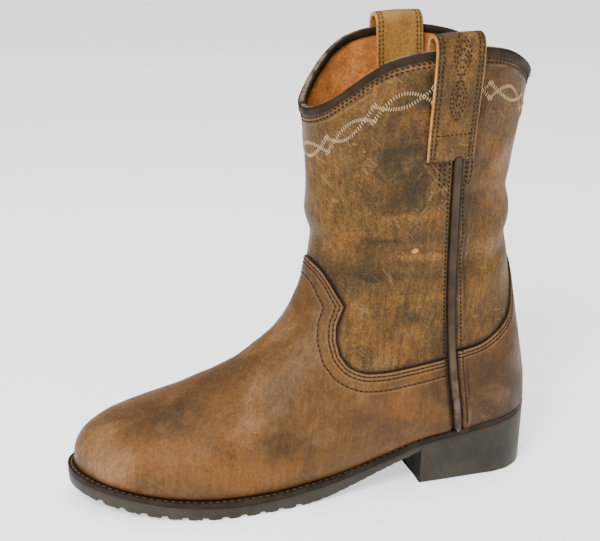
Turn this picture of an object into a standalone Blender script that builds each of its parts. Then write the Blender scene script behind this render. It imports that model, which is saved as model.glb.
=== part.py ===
"""Roper boot for the left foot, as separate solids.

Metres, +Z up, toe along +Y, lateral side along -X. The origin is the middle of the heel's flat
underside. Inside the form functions y is counted from the heel's back edge instead.
"""
import bmesh
import bpy
import numpy as np

# Driving sizes
SOLE_LENGTH = 0.301
BALL_WIDTH = 0.0915
SHAFT_WIDTH = 0.110
BOOT_HEIGHT = 0.281
FRONT_DIP = 0.0395
BACK_DIP = 0.0235
INSTEP_RISE = 0.135
SEAT_HEIGHT = 0.0445
FOREPART_HEIGHT = 0.0118
TOE_SPRING = 0.0105
HEEL_LENGTH = 0.082
TOE_ROUND = 0.084
HEEL_ROUND = 0.034
PIVOT_Y = 0.209
PIVOT_Z = 0.172

# Walls and thicknesses
WALL = 0.0024
GAP = 0.0003
BESIDE_GAP = 0.0004
OVERLAY = 0.0014
BINDING = 0.0010
BINDING_DEPTH = 0.0042
WELT_THICKNESS = 0.0032
WELT_TOE = 0.0060
WELT_BACK = 0.0018
WELT_INSIDE = 0.0015
SHANK_THICKNESS = 0.0045
INSOLE_RISE = 0.0030
SIDE_STEP = 0.0007
LUG_DEPTH = 0.0026
LUG_SLOPE = 0.0004
BREAST_CLEAR = 0.003
TIP_INSET = 0.125

# Trim
PEAK_CLIMB = 0.136
COUNTER_CLIMB = 0.096
PIPING_WIDTH = 0.0052
PIPING_HEIGHT = 0.0026
STRAP_WIDTH = 0.031
STRAP_THICKNESS = 0.0026
STRAP_PLACE = 0.073
STRAP_DROP = 0.066
STRAP_STAND = 0.0048
STRAP_STAND_INSIDE = 0.0036
STRAP_RISE = 0.0105

# Roundness of ends: powers of their curves, and the binding's corner as shares of its reach
TOE_POWER = 2.3
PIPING_POWER = 0.7
STRAP_POWER = 0.6
BINDING_CORNER_OUT = 0.8
BINDING_CORNER_UP = 0.7

# Counts of rows, columns and samples
FOOT_ROWS = 11
SHAFT_ROWS = 8
COUNTER_COLUMNS = 9
SIDE_COLUMNS = 9
FRONT_COLUMNS = 10
PIPING_SIDES = 8
STRAP_RISE_ROWS = 9
STRAP_ARCH_ROWS = 11
STRAP_COLUMNS = 5
OUTSOLE_ROWS = 31
HEEL_ROWS = 45
INSOLE_ROWS = 27
CURVE_SAMPLES = 400

# Spacing of the grids: how far rows are drawn to the ends, and how firmly borders hold their lines
ROUND_SPREAD = 0.03
RIDGE_SPREAD = 0.07
FRONT_SPREAD = 1.15
RIDGE_HOLD = 4
COLLAR_HOLD = 2.5
WELD = 0.000001

FORM_BACK = WELT_BACK
FORM_TIP = SOLE_LENGTH - WELT_TOE
FORM_LENGTH = FORM_TIP - FORM_BACK
HEEL_MIDDLE = HEEL_LENGTH / 2
PEAK_HEIGHT = FOREPART_HEIGHT + PEAK_CLIMB
COUNTER_HEIGHT = SEAT_HEIGHT + COUNTER_CLIMB

# Plan outline of the form. along: share of its length; half, shift: shares of the ball width.
# shift is the middle line's way to the medial side.
OUTLINE = (
    # along, half, shift
    (0.00, 0.352, 0.000),
    (0.12, 0.352, -0.003),
    (0.22, 0.357, -0.012),
    (0.32, 0.350, -0.026),
    (0.42, 0.362, -0.036),
    (0.52, 0.405, -0.036),
    (0.62, 0.467, -0.028),
    (0.72, 0.500, -0.010),
    (0.80, 0.500, 0.016),
    (0.88, 0.500, 0.046),
    (1.00, 0.500, 0.086),
)

# Height of the edge where the upper meets the welt. along: share of the sole's length;
# seat: share of the seat's rise over the forepart; spring: share of the toe spring.
FEATHER = (
    # along, seat, spring
    (0.000, 1.000, 0.00),
    (0.060, 0.880, 0.00),
    (0.143, 0.745, 0.00),
    (0.272, 0.580, 0.00),
    (0.355, 0.360, 0.00),
    (0.455, 0.130, 0.00),
    (0.555, 0.025, 0.00),
    (0.670, 0.000, 0.00),
    (0.770, 0.000, 0.06),
    (0.860, 0.000, 0.28),
    (0.935, 0.000, 0.64),
    (1.000, 0.000, 1.00),
)

# Underside of the forepart and shank. along: share of the sole's length;
# spring: share of the toe spring; shank: share of the way up to the heel's top.
UNDERSIDE = (
    # along, shank, spring
    (0.275, 1.000, 0.00),
    (0.355, 0.630, 0.00),
    (0.430, 0.290, 0.00),
    (0.490, 0.075, 0.00),
    (0.535, 0.000, 0.00),
    (0.745, 0.000, 0.00),
    (0.810, 0.000, 0.10),
    (0.875, 0.000, 0.30),
    (0.940, 0.000, 0.62),
    (1.000, 0.000, 1.00),
)

# Ridge over the toes and instep. along: share of the form's length;
# climb: share of the instep's rise over the forepart.
RIDGE = (
    # along, climb
    (0.9985, 0.140),
    (0.990, 0.187),
    (0.971, 0.231),
    (0.935, 0.270),
    (0.884, 0.311),
    (0.809, 0.359),
    (0.738, 0.411),
    (0.662, 0.489),
    (0.587, 0.607),
    (0.549, 0.693),
    (0.516, 0.818),
    (0.4975, 0.965),
)

# Front and back lines of the shaft. climb: share of the boot's height;
# front, back: shares of the form's length.
SHAFT_FRONT = (
    # climb, front
    (0.572, 0.4935),
    (0.645, 0.4955),
    (0.755, 0.5005),
    (0.860, 0.5070),
    (0.950, 0.5155),
    (1.070, 0.5260),
)
BACK_LINE = (
    # climb, back
    (0.150, 0.0000),
    (0.180, 0.0000),
    (0.215, 0.0020),
    (0.265, 0.0095),
    (0.320, 0.0185),
    (0.380, 0.0290),
    (0.450, 0.0395),
    (0.520, 0.0480),
    (0.590, 0.0515),
    (0.660, 0.0510),
    (0.730, 0.0460),
    (0.795, 0.0375),
    (0.860, 0.0275),
    (0.925, 0.0170),
    (1.000, 0.0050),
    (1.080, -0.0070),
)

# Rounding of the back. climb: share of the boot's height; radius: share of the sole's length.
BACK_ROUND = (
    # climb, radius, power
    (0.155, 0.113, 2.20),
    (0.300, 0.140, 2.20),
    (0.430, 0.178, 2.15),
    (0.615, 0.225, 2.05),
    (1.070, 0.255, 2.00),
)

# Cross-sections. station: 0 to 1 toe to ball, 1 to 2 instep to ankle, 2 to 3 shaft; foot, leg: shares
# of the ball and shaft widths that add up to the half width; crest: share of the ball width that the
# ridge lies to the medial side; widest: share of the way from base to ridge; low, top, root: roundness.
SECTION = (
    # station, foot, leg, crest, widest, low, top, root
    (0.00, 0.536, 0.000, 0.086, 0.30, 3.0, 2.3, 2.00),
    (0.35, 0.539, 0.000, 0.071, 0.30, 3.0, 2.2, 2.00),
    (0.70, 0.542, 0.000, 0.055, 0.29, 3.0, 2.1, 1.95),
    (1.00, 0.525, 0.000, 0.044, 0.28, 3.0, 2.0, 1.85),
    (1.15, 0.486, 0.000, 0.033, 0.29, 3.0, 2.0, 1.80),
    (1.30, 0.420, 0.022, 0.022, 0.33, 3.2, 2.0, 1.80),
    (1.45, 0.330, 0.077, 0.011, 0.40, 3.6, 2.0, 1.85),
    (1.60, 0.220, 0.161, 0.005, 0.45, 4.0, 2.0, 1.90),
    (1.75, 0.110, 0.259, 0.000, 0.48, 4.0, 2.0, 1.95),
    (2.00, 0.000, 0.391, 0.000, 0.50, 3.0, 2.1, 2.00),
    (2.35, 0.000, 0.436, 0.000, 0.50, 3.0, 2.1, 2.00),
    (2.70, 0.000, 0.473, 0.000, 0.50, 3.0, 2.1, 2.00),
    (3.00, 0.000, 0.500, 0.000, 0.50, 3.0, 2.0, 2.00),
    (3.30, 0.000, 0.523, 0.000, 0.50, 3.0, 2.0, 2.00),
)

# Collar seen from the side. along: share from back to front; rise: share of the way to the ears.
TOPLINE = (
    # along, rise
    (0.00, 0.00),
    (0.04, 0.22),
    (0.09, 0.48),
    (0.17, 0.77),
    (0.28, 0.95),
    (0.42, 1.00),
    (0.55, 0.97),
    (0.64, 0.92),
    (0.72, 0.83),
    (0.79, 0.68),
    (0.87, 0.43),
    (0.95, 0.15),
    (1.00, 0.00),
)

# Welt's overhang. along: share of the form's length; share: of the way from its back to its toe value.
OVERHANG = (
    # along, share
    (0.00, 0.00),
    (0.18, 0.12),
    (0.34, 0.45),
    (0.55, 0.85),
    (0.75, 1.00),
    (1.00, 1.00),
)

# Vamp's seam along the side, from the piping to the corner below the tongue-shaped peak, and up the
# front to the peak. along: share of the form's length; climb: share of the way from forepart to peak.
VAMP_SIDE_SEAM = (
    # along, climb
    (0.235, 0.542),
    (0.308, 0.512),
    (0.370, 0.500),
    (0.412, 0.508),
    (0.440, 0.540),
    (0.455, 0.586),
)
VAMP_FRONT_SEAM = (
    # along, climb
    (0.455, 0.586),
    (0.460, 0.650),
    (0.456, 0.715),
    (0.445, 0.770),
    (0.438, 0.800),
    (0.448, 0.840),
    (0.463, 0.905),
    (0.478, 0.960),
)
CORNER_ALONG = 0.68

# Counter's seam from the back seam to the side piping. along: share of the form's length;
# climb: share of the way from the seat to the seam's top.
COUNTER_SEAM = (
    # along, climb
    (0.0500, 0.830),
    (0.0700, 0.655),
    (0.1000, 0.580),
    (0.1450, 0.510),
    (0.1950, 0.470),
)

# Side piping. climb: share of the boot's height; along: share of the sole's length.
PIPING = (
    # climb, along
    (0.125, 0.1890),
    (0.290, 0.2100),
    (0.370, 0.2160),
    (0.450, 0.2200),
    (0.610, 0.2230),
    (0.780, 0.2260),
)

# Grooves across the tread. along: share of the sole's length.
FOREPART_GROOVES = tuple(0.550 + 0.0400 * number for number in range(11))
HEEL_GROOVES = (0.055, 0.205)
GROOVE_SHARE = 0.0105
CHANNEL = (0.455, 0.461, 0.539, 0.545)

RUBBER = ("sole_rubber", (0.038, 0.030, 0.026), 0.62)
VAMP_LEATHER = ("vamp_leather", (0.205, 0.092, 0.042), 0.52)
SHAFT_LEATHER = ("shaft_leather", (0.118, 0.066, 0.033), 0.62)
WELT_LEATHER = ("welt_leather", (0.045, 0.028, 0.020), 0.60)
PIPING_LEATHER = ("piping_leather", (0.090, 0.052, 0.033), 0.50)
BINDING_LEATHER = ("binding_leather", (0.060, 0.036, 0.024), 0.50)
INSOLE_LEATHER = ("insole_leather", (0.420, 0.190, 0.070), 0.75)


def column(table, number):
    return [row[number] for row in table]


def flow(x, xs, ys):
    """Smooth curve through the rows of a table, straight beyond its ends."""
    x = np.asarray(x, float)
    xs = np.asarray(xs, float)
    ys = np.asarray(ys, float)
    slope = np.gradient(ys, xs)
    low = np.clip(np.searchsorted(xs, x, side="right") - 1, 0, len(xs) - 2)
    step = xs[low + 1] - xs[low]
    t = (x - xs[low]) / step
    c = np.clip(t, 0, 1)
    curve = (1 + 2 * c) * (1 - c) ** 2 * ys[low] + c * (1 - c) ** 2 * step * slope[low]
    curve += c * c * (3 - 2 * c) * ys[low + 1] + c * c * (c - 1) * step * slope[low + 1]
    return curve + (t - c) * step * np.where(t > 1, slope[low + 1], slope[low])


def ease(x):
    c = np.clip(x, 0, 1)
    return c * c * (3 - 2 * c)


def dome(x, power):
    """Rounded end: one while x is below zero, zero at one."""
    return np.sqrt(np.clip(1 - np.clip(x, 0, 1) ** power, 0, 1))


def along_path(path, shares):
    """Points at shares of the length of a path."""
    lengths = np.concatenate([[0], np.cumsum(np.linalg.norm(np.diff(path, axis=0), axis=1))])
    return np.stack([np.interp(shares * lengths[-1], lengths, path[:, k]) for k in range(path.shape[1])], 1)


def smooth_path(rows):
    """Smooth curve through points, evenly sampled."""
    lengths = np.concatenate([[0], np.cumsum(np.linalg.norm(np.diff(rows, axis=0), axis=1))])
    at = np.linspace(0, lengths[-1], CURVE_SAMPLES)
    return np.stack([flow(at, lengths, rows[:, 0]), flow(at, lengths, rows[:, 1])], 1)


# The form's lines seen from the side


def form_y(share):
    return FORM_BACK + np.asarray(share, float) * FORM_LENGTH


def feather(y):
    share = y / SOLE_LENGTH
    seat = flow(share, column(FEATHER, 0), column(FEATHER, 1))
    spring = flow(share, column(FEATHER, 0), column(FEATHER, 2))
    return FOREPART_HEIGHT + (SEAT_HEIGHT - FOREPART_HEIGHT) * seat + TOE_SPRING * spring


def front_path():
    toe = [[FORM_TIP, float(feather(FORM_TIP))]]
    foot = [[form_y(along), FOREPART_HEIGHT + INSTEP_RISE * climb] for along, climb in RIDGE]
    shaft = [[form_y(front), BOOT_HEIGHT * climb] for climb, front in SHAFT_FRONT]
    return smooth_path(np.array(toe + foot + shaft))


FRONT = front_path()
FRONT_CORNER = int(np.argmin(FRONT[:, 0]))


def front_y(z):
    return np.interp(z, FRONT[:, 1], FRONT[:, 0])


def ridge_z(y):
    foot = FRONT[:FRONT_CORNER + 1]
    return np.interp(y, foot[::-1, 0], foot[::-1, 1])


def back_y(z):
    return form_y(flow(z / BOOT_HEIGHT, column(BACK_LINE, 0), column(BACK_LINE, 1)))


def collar_z(share):
    """Height of the collar at a share from back to front."""
    back = BOOT_HEIGHT - BACK_DIP
    ends = back + (BACK_DIP - FRONT_DIP) * ease(share)
    return ends + (BOOT_HEIGHT - ends) * flow(share, column(TOPLINE, 0), column(TOPLINE, 1))


def piping_y(z):
    return SOLE_LENGTH * flow(z / BOOT_HEIGHT, column(PIPING, 0), column(PIPING, 1))


# The form's widths


def outline(y):
    """Middle line and half width of the plan outline, without the heel's rounding."""
    share = (y - FORM_BACK) / FORM_LENGTH
    middle = BALL_WIDTH * flow(share, column(OUTLINE, 0), column(OUTLINE, 2))
    half = BALL_WIDTH * flow(share, column(OUTLINE, 0), column(OUTLINE, 1))
    return middle, half * toe_round(y)


def toe_round(y):
    return dome((y - FORM_TIP + TOE_ROUND) / TOE_ROUND, TOE_POWER)


def back_round(y, z):
    climb = z / BOOT_HEIGHT
    radius = HEEL_ROUND + SOLE_LENGTH * (flow(climb, column(BACK_ROUND, 0), column(BACK_ROUND, 1))
                                         - BACK_ROUND[0][1])
    power = flow(climb, column(BACK_ROUND, 0), column(BACK_ROUND, 2))
    return dome((back_y(z) + radius - y) / radius, power)


def fan(path):
    """Angle from straight down and distance of a path's points, seen from the pivot."""
    across = PIVOT_Y - path[:, 0]
    down = PIVOT_Z - path[:, 1]
    order = np.argsort(np.arctan2(across, down))
    return np.arctan2(across, down)[order], np.hypot(across, down)[order]


def base_path():
    y = np.linspace(PIVOT_Y, FORM_BACK, CURVE_SAMPLES)
    z = np.linspace(float(feather(FORM_BACK)), PIVOT_Z, CURVE_SAMPLES)[1:]
    return np.concatenate([np.stack([y, feather(y)], 1), np.stack([back_y(z), z], 1)])


BASE_ANGLE, BASE_REACH = fan(base_path())
NEAR_PIVOT = (FRONT[:, 0] < PIVOT_Y + WALL) & (FRONT[:, 1] < PIVOT_Z + WALL)
RIDGE_ANGLE, RIDGE_REACH = fan(FRONT[NEAR_PIVOT])


def place(y, z):
    """Station, share from base to ridge, and base point of a side-view point."""
    foot = y >= PIVOT_Y
    shaft = (z >= PIVOT_Z) & ~foot
    angle = np.arctan2(PIVOT_Y - y, PIVOT_Z - z)
    reach = np.hypot(PIVOT_Y - y, PIVOT_Z - z)
    base = np.interp(angle, BASE_ANGLE, BASE_REACH)
    crest = np.interp(angle, RIDGE_ANGLE, RIDGE_REACH)
    low = feather(y)
    back = back_y(z)
    kinds = (foot, shaft)
    station = np.select(kinds, (
        (FORM_TIP - y) / (FORM_TIP - PIVOT_Y),
        2 + (z - PIVOT_Z) / (BOOT_HEIGHT - PIVOT_Z),
    ), 1 + angle / (np.pi / 2))
    share = np.select(kinds, (
        (z - low) / np.maximum(ridge_z(y) - low, GAP),
        (y - back) / (front_y(z) - back),
    ), (base - reach) / (base - crest))
    base_y = np.select(kinds, (y, back), PIVOT_Y - base * np.sin(angle))
    base_z = np.select(kinds, (low, z), PIVOT_Z - base * np.cos(angle))
    return station, np.clip(share, 0, 1), base_y, base_z


def form(y, z):
    """Middle and half width of the form at a side-view point."""
    station, share, base_y, base_z = place(y, z)
    foot, leg, crest, widest, low, top, root = (
        flow(station, column(SECTION, 0), column(SECTION, k)) for k in range(1, 8))
    wide = (BALL_WIDTH * foot + SHAFT_WIDTH * leg) * np.where(y > PIVOT_Y, toe_round(y), 1)
    middle, base_half = outline(np.maximum(base_y, FORM_BACK))
    behind = ease((base_z - feather(FORM_BACK)) / HEEL_ROUND) * (base_y < FORM_BACK + HEEL_ROUND)
    base_half = np.minimum(base_half, wide)
    base_half = base_half + (wide - base_half) * behind
    lower = base_half + (wide - base_half) * (1 - (1 - np.clip(share / widest, 0, 1)) ** low)
    upper = wide * (1 - np.clip((share - widest) / (1 - widest), 0, 1) ** top) ** (1 / root)
    half = np.where(share < widest, lower, upper) * back_round(y, z)
    return middle + (BALL_WIDTH * crest - middle) * ease(share), half


# Grids of points on the form


def patch(bottom, top, back, front, across, climb, hold=1, gather=1):
    """Side-view grid spanned between four border lines; back and front run from bottom to top.

    across and climb are the shares of its columns and rows. hold above one keeps the front border's
    bend near that border; gather above one makes the columns follow the top border's spacing sooner.
    """
    grid = []
    for k, front_power, top_power in ((0, hold, gather), (1, 1, 1)):
        u = (across ** front_power)[None]
        t = (1 - (1 - climb) ** top_power)[:, None]
        lines = (1 - u) * back[:, k, None] + u * front[:, k, None] + (1 - t) * bottom[None, :, k]
        lines += t * top[None, :, k]
        lines -= (1 - t) * ((1 - u) * bottom[0, k] + u * bottom[-1, k])
        lines -= t * ((1 - u) * top[0, k] + u * top[-1, k])
        grid.append(lines)
    return np.stack(grid, -1)


def round_shares(count):
    """Shares from back to front, close together at both ends."""
    s = np.linspace(0, 1, count)
    return (1 - np.cos(np.pi * (s + ROUND_SPREAD * np.sin(2 * np.pi * s)))) / 2


def back_shares(count):
    """Shares of the way from the back line to the side, close together at the back."""
    return 1 - np.cos(np.pi / 2 * np.linspace(0, 1, count))


def front_shares(count):
    """Shares of the way from the side to the front, close together at the front."""
    return np.sin(np.pi / 2 * np.linspace(0, 1, count) ** FRONT_SPREAD)


def ridge_shares(count):
    """Shares along the ridge that lie closer near the toe and the peak."""
    t = np.linspace(0, 1, count)
    return t - RIDGE_SPREAD * np.sin(2 * np.pi * t)


def beside(z, side):
    """The side piping's front or rear edge with its clearance."""
    return piping_y(z) + side * (PIPING_WIDTH / 2 + BESIDE_GAP)


def counter_seam():
    rows = [[form_y(along), SEAT_HEIGHT + COUNTER_CLIMB * climb] for along, climb in COUNTER_SEAM]
    rows.insert(0, [back_y(COUNTER_HEIGHT), COUNTER_HEIGHT])
    rows[-1][0] = beside(rows[-1][1], -1)
    return along_path(smooth_path(np.array(rows)), back_shares(COUNTER_COLUMNS))


def seam_rows(table):
    return np.array([[form_y(along), FOREPART_HEIGHT + PEAK_CLIMB * climb] for along, climb in table])


def side_seam():
    """Vamp's seam from the piping to the corner."""
    rows = seam_rows(VAMP_SIDE_SEAM)
    rows[0, 0] = beside(rows[0, 1], 1)
    return along_path(smooth_path(rows), np.sin(np.pi / 2 * np.linspace(0, 1, SIDE_COLUMNS)))


def front_seam():
    """Vamp's seam from the corner to the peak on the ridge."""
    rows = np.vstack([seam_rows(VAMP_FRONT_SEAM), [[front_y(PEAK_HEIGHT), PEAK_HEIGHT]]])
    return along_path(rows, np.sin(np.pi / 2 * np.linspace(0, 1, FRONT_COLUMNS)))


def feather_line(start, end, shares):
    y = start + (end - start) * shares
    return np.stack([y, feather(y)], 1)


def counter_patch():
    """Side-view grid of the counter, from the back line to the piping."""
    top = counter_seam()
    shares = back_shares(COUNTER_COLUMNS)
    bottom = feather_line(FORM_BACK, float(beside(SEAT_HEIGHT, -1)), shares)
    z = np.linspace(bottom[0, 1], top[0, 1], FOOT_ROWS)
    back = np.stack([back_y(z), z], 1)
    back[0] = bottom[0]
    z = np.linspace(bottom[-1, 1], top[-1, 1], FOOT_ROWS)
    side = np.stack([beside(z, -1), z], 1)
    side[0] = bottom[-1]
    return patch(bottom, top, back, side, shares, np.linspace(0, 1, FOOT_ROWS))


def vamp_patch():
    """Side-view grid of the vamp, from the piping to the ridge."""
    top = np.vstack([side_seam(), front_seam()[1:]])
    low = float(beside(SEAT_HEIGHT, 1))
    corner = (form_y(CORNER_ALONG) - low) / (FORM_TIP - low)
    side = corner * np.linspace(0, 1, SIDE_COLUMNS)
    front = corner + (1 - corner) * np.sin(np.pi / 2 * np.linspace(0, 1, FRONT_COLUMNS))
    shares = np.append(side, front[1:])
    bottom = feather_line(low, FORM_TIP, shares)
    z = np.linspace(bottom[0, 1], top[0, 1], FOOT_ROWS)
    back = np.stack([beside(z, 1), z], 1)
    back[0] = bottom[0]
    ridge = along_path(np.vstack([FRONT[FRONT[:, 1] < PEAK_HEIGHT], top[-1:]]), ridge_shares(FOOT_ROWS))
    return patch(bottom, top, back, ridge, shares, np.linspace(0, 1, FOOT_ROWS), hold=RIDGE_HOLD)


def collar_ends():
    back = float(collar_z(0))
    front = float(collar_z(1))
    return np.array([[back_y(back), back], [front_y(front), front]])


def collar_share(y):
    ends = collar_ends()
    return (y - ends[0, 0]) / (ends[1, 0] - ends[0, 0])


def shaft_patch():
    """Side-view grid of the shaft: level seams below, upright vamp seam and ridge in front."""
    ends = collar_ends()
    z = np.linspace(PEAK_HEIGHT, ends[1, 1], SHAFT_ROWS)[1:]
    front = np.concatenate([front_seam(), np.stack([front_y(z), z], 1)])
    length = np.cumsum(np.append(0, np.linalg.norm(np.diff(front, axis=0), axis=1)))
    climb = length / length[-1]
    parts = []
    for side, bottom, shares in (
        (-1, counter_seam(), back_shares(COUNTER_COLUMNS)),
        (1, side_seam(), front_shares(SIDE_COLUMNS)),
    ):
        rim = beside(BOOT_HEIGHT, side)
        start, end = (ends[0, 0], rim) if side < 0 else (rim, ends[1, 0])
        y = start + (end - start) * shares
        top = np.stack([y, collar_z(collar_share(y))], 1)
        seam = 0 if side > 0 else -1
        z = bottom[seam, 1] + (top[seam, 1] - bottom[seam, 1]) * climb
        piping = np.stack([beside(z, side), z], 1)
        piping[0] = bottom[seam]
        piping[-1] = top[seam]
        z = bottom[0, 1] + (top[0, 1] - bottom[0, 1]) * climb
        back = np.stack([back_y(z), z], 1)
        borders = (back, piping) if side < 0 else (piping, front)
        parts.append(patch(bottom, top, *borders, shares, climb, gather=1 if side < 0 else COLLAR_HOLD))
    return np.concatenate(parts, 1)


class Form:
    """Points of the upper's outer form, shared between its patches."""

    def __init__(self):
        self.points = []
        self.numbers = {}
        self.patches = {}
        sides = {-1: {}, 1: {}}
        for name, grid in (("counter", counter_patch()), ("vamp", vamp_patch()), ("shaft", shaft_patch())):
            middle, half = form(grid[..., 0], grid[..., 1])
            if name != "vamp":
                half[:, 0] = 0
            if name != "counter":
                half[FRONT_COLUMNS - 1 if name == "shaft" else 0:, -1] = 0
            for side, rows in sides.items():
                at = np.stack([middle + side * half, grid[..., 0], grid[..., 1]], -1)
                rows[name] = np.array([[self.number(point) for point in row] for row in at])
        for name in ("counter", "vamp"):
            for side in sides:
                self.patches[name, side] = quads(sides[side][name])
        for side, rows in sides.items():
            strip = np.stack([rows["counter"][:, -1], rows["vamp"][:, 0]], 1)
            self.patches["shaft", side] = quads(rows["shaft"]) + quads(strip)
        self.points = np.array(self.points)
        self.sides = sides
        self.edge = self.ring([np.append(rows["counter"][0], rows["vamp"][0]) for rows in sides.values()])
        self.collar = self.ring([rows["shaft"][-1] for rows in sides.values()])
        self.below_collar = self.ring([rows["shaft"][-2] for rows in sides.values()])
        self.out = self.normals()

    def number(self, point):
        key = tuple(round(value / WELD) for value in point)
        if key not in self.numbers:
            self.numbers[key] = len(self.points)
            self.points.append(point)
        return self.numbers[key]

    def ring(self, halves):
        """Lateral half back to front, then medial half front to back."""
        return np.concatenate([halves[0], halves[1][-2:0:-1]])

    def faces(self, *names):
        """Faces that look out of the boot."""
        found = []
        for (name, side), faces in self.patches.items():
            if name in names:
                found += faces if side > 0 else [face[::-1] for face in faces]
        return found

    def normals(self):
        out = np.zeros_like(self.points)
        for face in self.faces("counter", "vamp", "shaft"):
            a, b, c, d = (self.points[k] for k in face)
            out[list(face)] += np.cross(c - a, d - b)
        out[self.edge, 2] = 0
        return out / np.linalg.norm(out, axis=1, keepdims=True)

    def skin(self, faces, outer, inner):
        """Closed wall over some faces, between two distances from the form."""
        used = sorted({k for face in faces for k in face})
        new = {k: number for number, k in enumerate(used)}
        solid = Solid()
        layers = []
        for reach in (outer, inner):
            layer = self.points[used] + reach * self.out[used]
            low = np.isin(used, self.edge)
            layer[low, 2] = feather(layer[low, 1])
            layers.append(solid.add(layer))
        edges_seen = {}
        for face in faces:
            corners = [new[k] for k in face]
            low = corners.index(min(corners))
            a, b, c, d = corners[low:] + corners[:low]
            for layer in layers:
                solid.cap(layer[[a, b, c]])
                solid.cap(layer[[a, c, d]])
            for first, second in zip(corners, corners[1:] + corners[:1]):
                edges_seen[first, second] = True
        for first, second in edges_seen:
            if (second, first) not in edges_seen:
                solid.cap([layers[0][second], layers[0][first], layers[1][first], layers[1][second]])
        return solid


def quads(numbers):
    """Faces of a grid of point numbers."""
    rows, columns = numbers.shape
    return [(int(numbers[r, c]), int(numbers[r, c + 1]), int(numbers[r + 1, c + 1]), int(numbers[r + 1, c]))
            for r in range(rows - 1) for c in range(columns - 1)]


# Solids


class Solid:
    """Collects points and faces of one closed solid."""

    def __init__(self):
        self.points = []
        self.faces = []

    def add(self, grid):
        """Adds a grid of points and returns their numbers in the same layout."""
        start = len(self.points)
        flat = np.asarray(grid, float).reshape(-1, 3)
        self.points.extend(flat.tolist())
        return np.arange(start, start + len(flat)).reshape(grid.shape[:-1])

    def join(self, first, second, closed=False):
        """Quads between two rows of points."""
        count = len(first)
        for k in range(count if closed else count - 1):
            n = (k + 1) % count
            self.faces.append((int(first[k]), int(first[n]), int(second[n]), int(second[k])))

    def join_rows(self, numbers, closed=False):
        for first, second in zip(numbers[:-1], numbers[1:]):
            self.join(first, second, closed)

    def cap(self, numbers):
        self.faces.append(tuple(int(n) for n in numbers))

    def make(self, name, material, sharp=40):
        mesh = bpy.data.meshes.new(name)
        shifted = [(x, y - HEEL_MIDDLE, z) for x, y, z in self.points]
        mesh.from_pydata(shifted, [], self.faces)
        body = bmesh.new()
        body.from_mesh(mesh)
        bmesh.ops.recalc_face_normals(body, faces=body.faces)
        body.to_mesh(mesh)
        body.free()
        mesh.polygons.foreach_set("use_smooth", [True] * len(mesh.polygons))
        mesh.set_sharp_from_angle(angle=np.radians(sharp))
        mesh.materials.append(surface(*material))
        part = bpy.data.objects.new(name, mesh)
        bpy.context.collection.objects.link(part)
        return part


def surface(name, colour, roughness):
    material = bpy.data.materials.get(name)
    if material is None:
        material = bpy.data.materials.new(name)
        material.use_nodes = True
        shader = material.node_tree.nodes["Principled BSDF"]
        shader.inputs["Base Color"].default_value = (*colour, 1)
        shader.inputs["Roughness"].default_value = roughness
        shader.inputs["Metallic"].default_value = 0
    return material


def shell(outer, inner, closed):
    """Wall between two grids of the same layout."""
    solid = Solid()
    out = solid.add(outer)
    into = solid.add(inner)
    solid.join_rows(out, closed)
    solid.join_rows(into, closed)
    solid.join(out[0], into[0], closed)
    solid.join(out[-1], into[-1], closed)
    if not closed:
        solid.join(out[:, 0], into[:, 0])
        solid.join(out[:, -1], into[:, -1])
    return solid


def loft(sections):
    """Closed cross-sections in a row, with a flat face at each end."""
    solid = Solid()
    numbers = solid.add(sections)
    solid.join_rows(numbers, closed=True)
    solid.cap(numbers[0])
    solid.cap(numbers[-1])
    return solid


def overhang(y):
    share = flow((y - FORM_BACK) / FORM_LENGTH, column(OVERHANG, 0), column(OVERHANG, 1))
    return WELT_BACK + (WELT_TOE - WELT_BACK) * np.clip(share, 0, 1)


def grown(ring, reach, welted):
    """Closed plan ring grown by reach, and by the welt's overhang where welted."""
    step = np.roll(ring, -1, 0) - np.roll(ring, 1, 0)
    out = np.stack([-step[:, 1], step[:, 0]], 1) / np.linalg.norm(step, axis=1, keepdims=True)
    grow = overhang(ring[:, 1]) * welted + reach
    return ring + out * grow[:, None]


def edges(y, reach, welted):
    """Lateral and medial x of the grown outline at each y."""
    line = form_y(round_shares(CURVE_SAMPLES))
    middle, half = outline(line)
    half = half * back_round(line, feather(line))
    half[[0, -1]] = 0
    lateral = np.stack([middle - half, line], 1)
    medial = np.stack([middle + half, line], 1)
    ring = grown(np.concatenate([lateral, medial[-2:0:-1]]), reach, welted)
    lateral = ring[:CURVE_SAMPLES]
    medial = np.concatenate([ring[:1], ring[:CURVE_SAMPLES - 2:-1]])
    return np.interp(y, lateral[:, 1], lateral[:, 0]), np.interp(y, medial[:, 1], medial[:, 0])


def make_binding(last):
    """Folded strip over the collar's rim."""
    outer = last.points[last.collar]
    out = last.out[last.collar]
    inner = outer - WALL * out
    down = last.points[last.below_collar] - outer
    down = BINDING_DEPTH * down / np.linalg.norm(down, axis=1, keepdims=True)
    up = np.array([0, 0, 1])
    skin = GAP + BINDING
    corner_out = BINDING_CORNER_OUT * out
    corner_up = BINDING_CORNER_UP * up
    section = (
        outer + down + GAP * out,
        outer + GAP * (out + up),
        inner + GAP * (up - out),
        inner + down - GAP * out,
        inner + down - skin * out,
        inner + skin * (corner_up - corner_out),
        outer + skin * (corner_up + corner_out),
        outer + down + skin * out,
    )
    solid = Solid()
    numbers = solid.add(np.stack(section))
    solid.join_rows(np.concatenate([numbers, numbers[:1]]), closed=True)
    solid.make("top_binding", BINDING_LEATHER)


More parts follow.
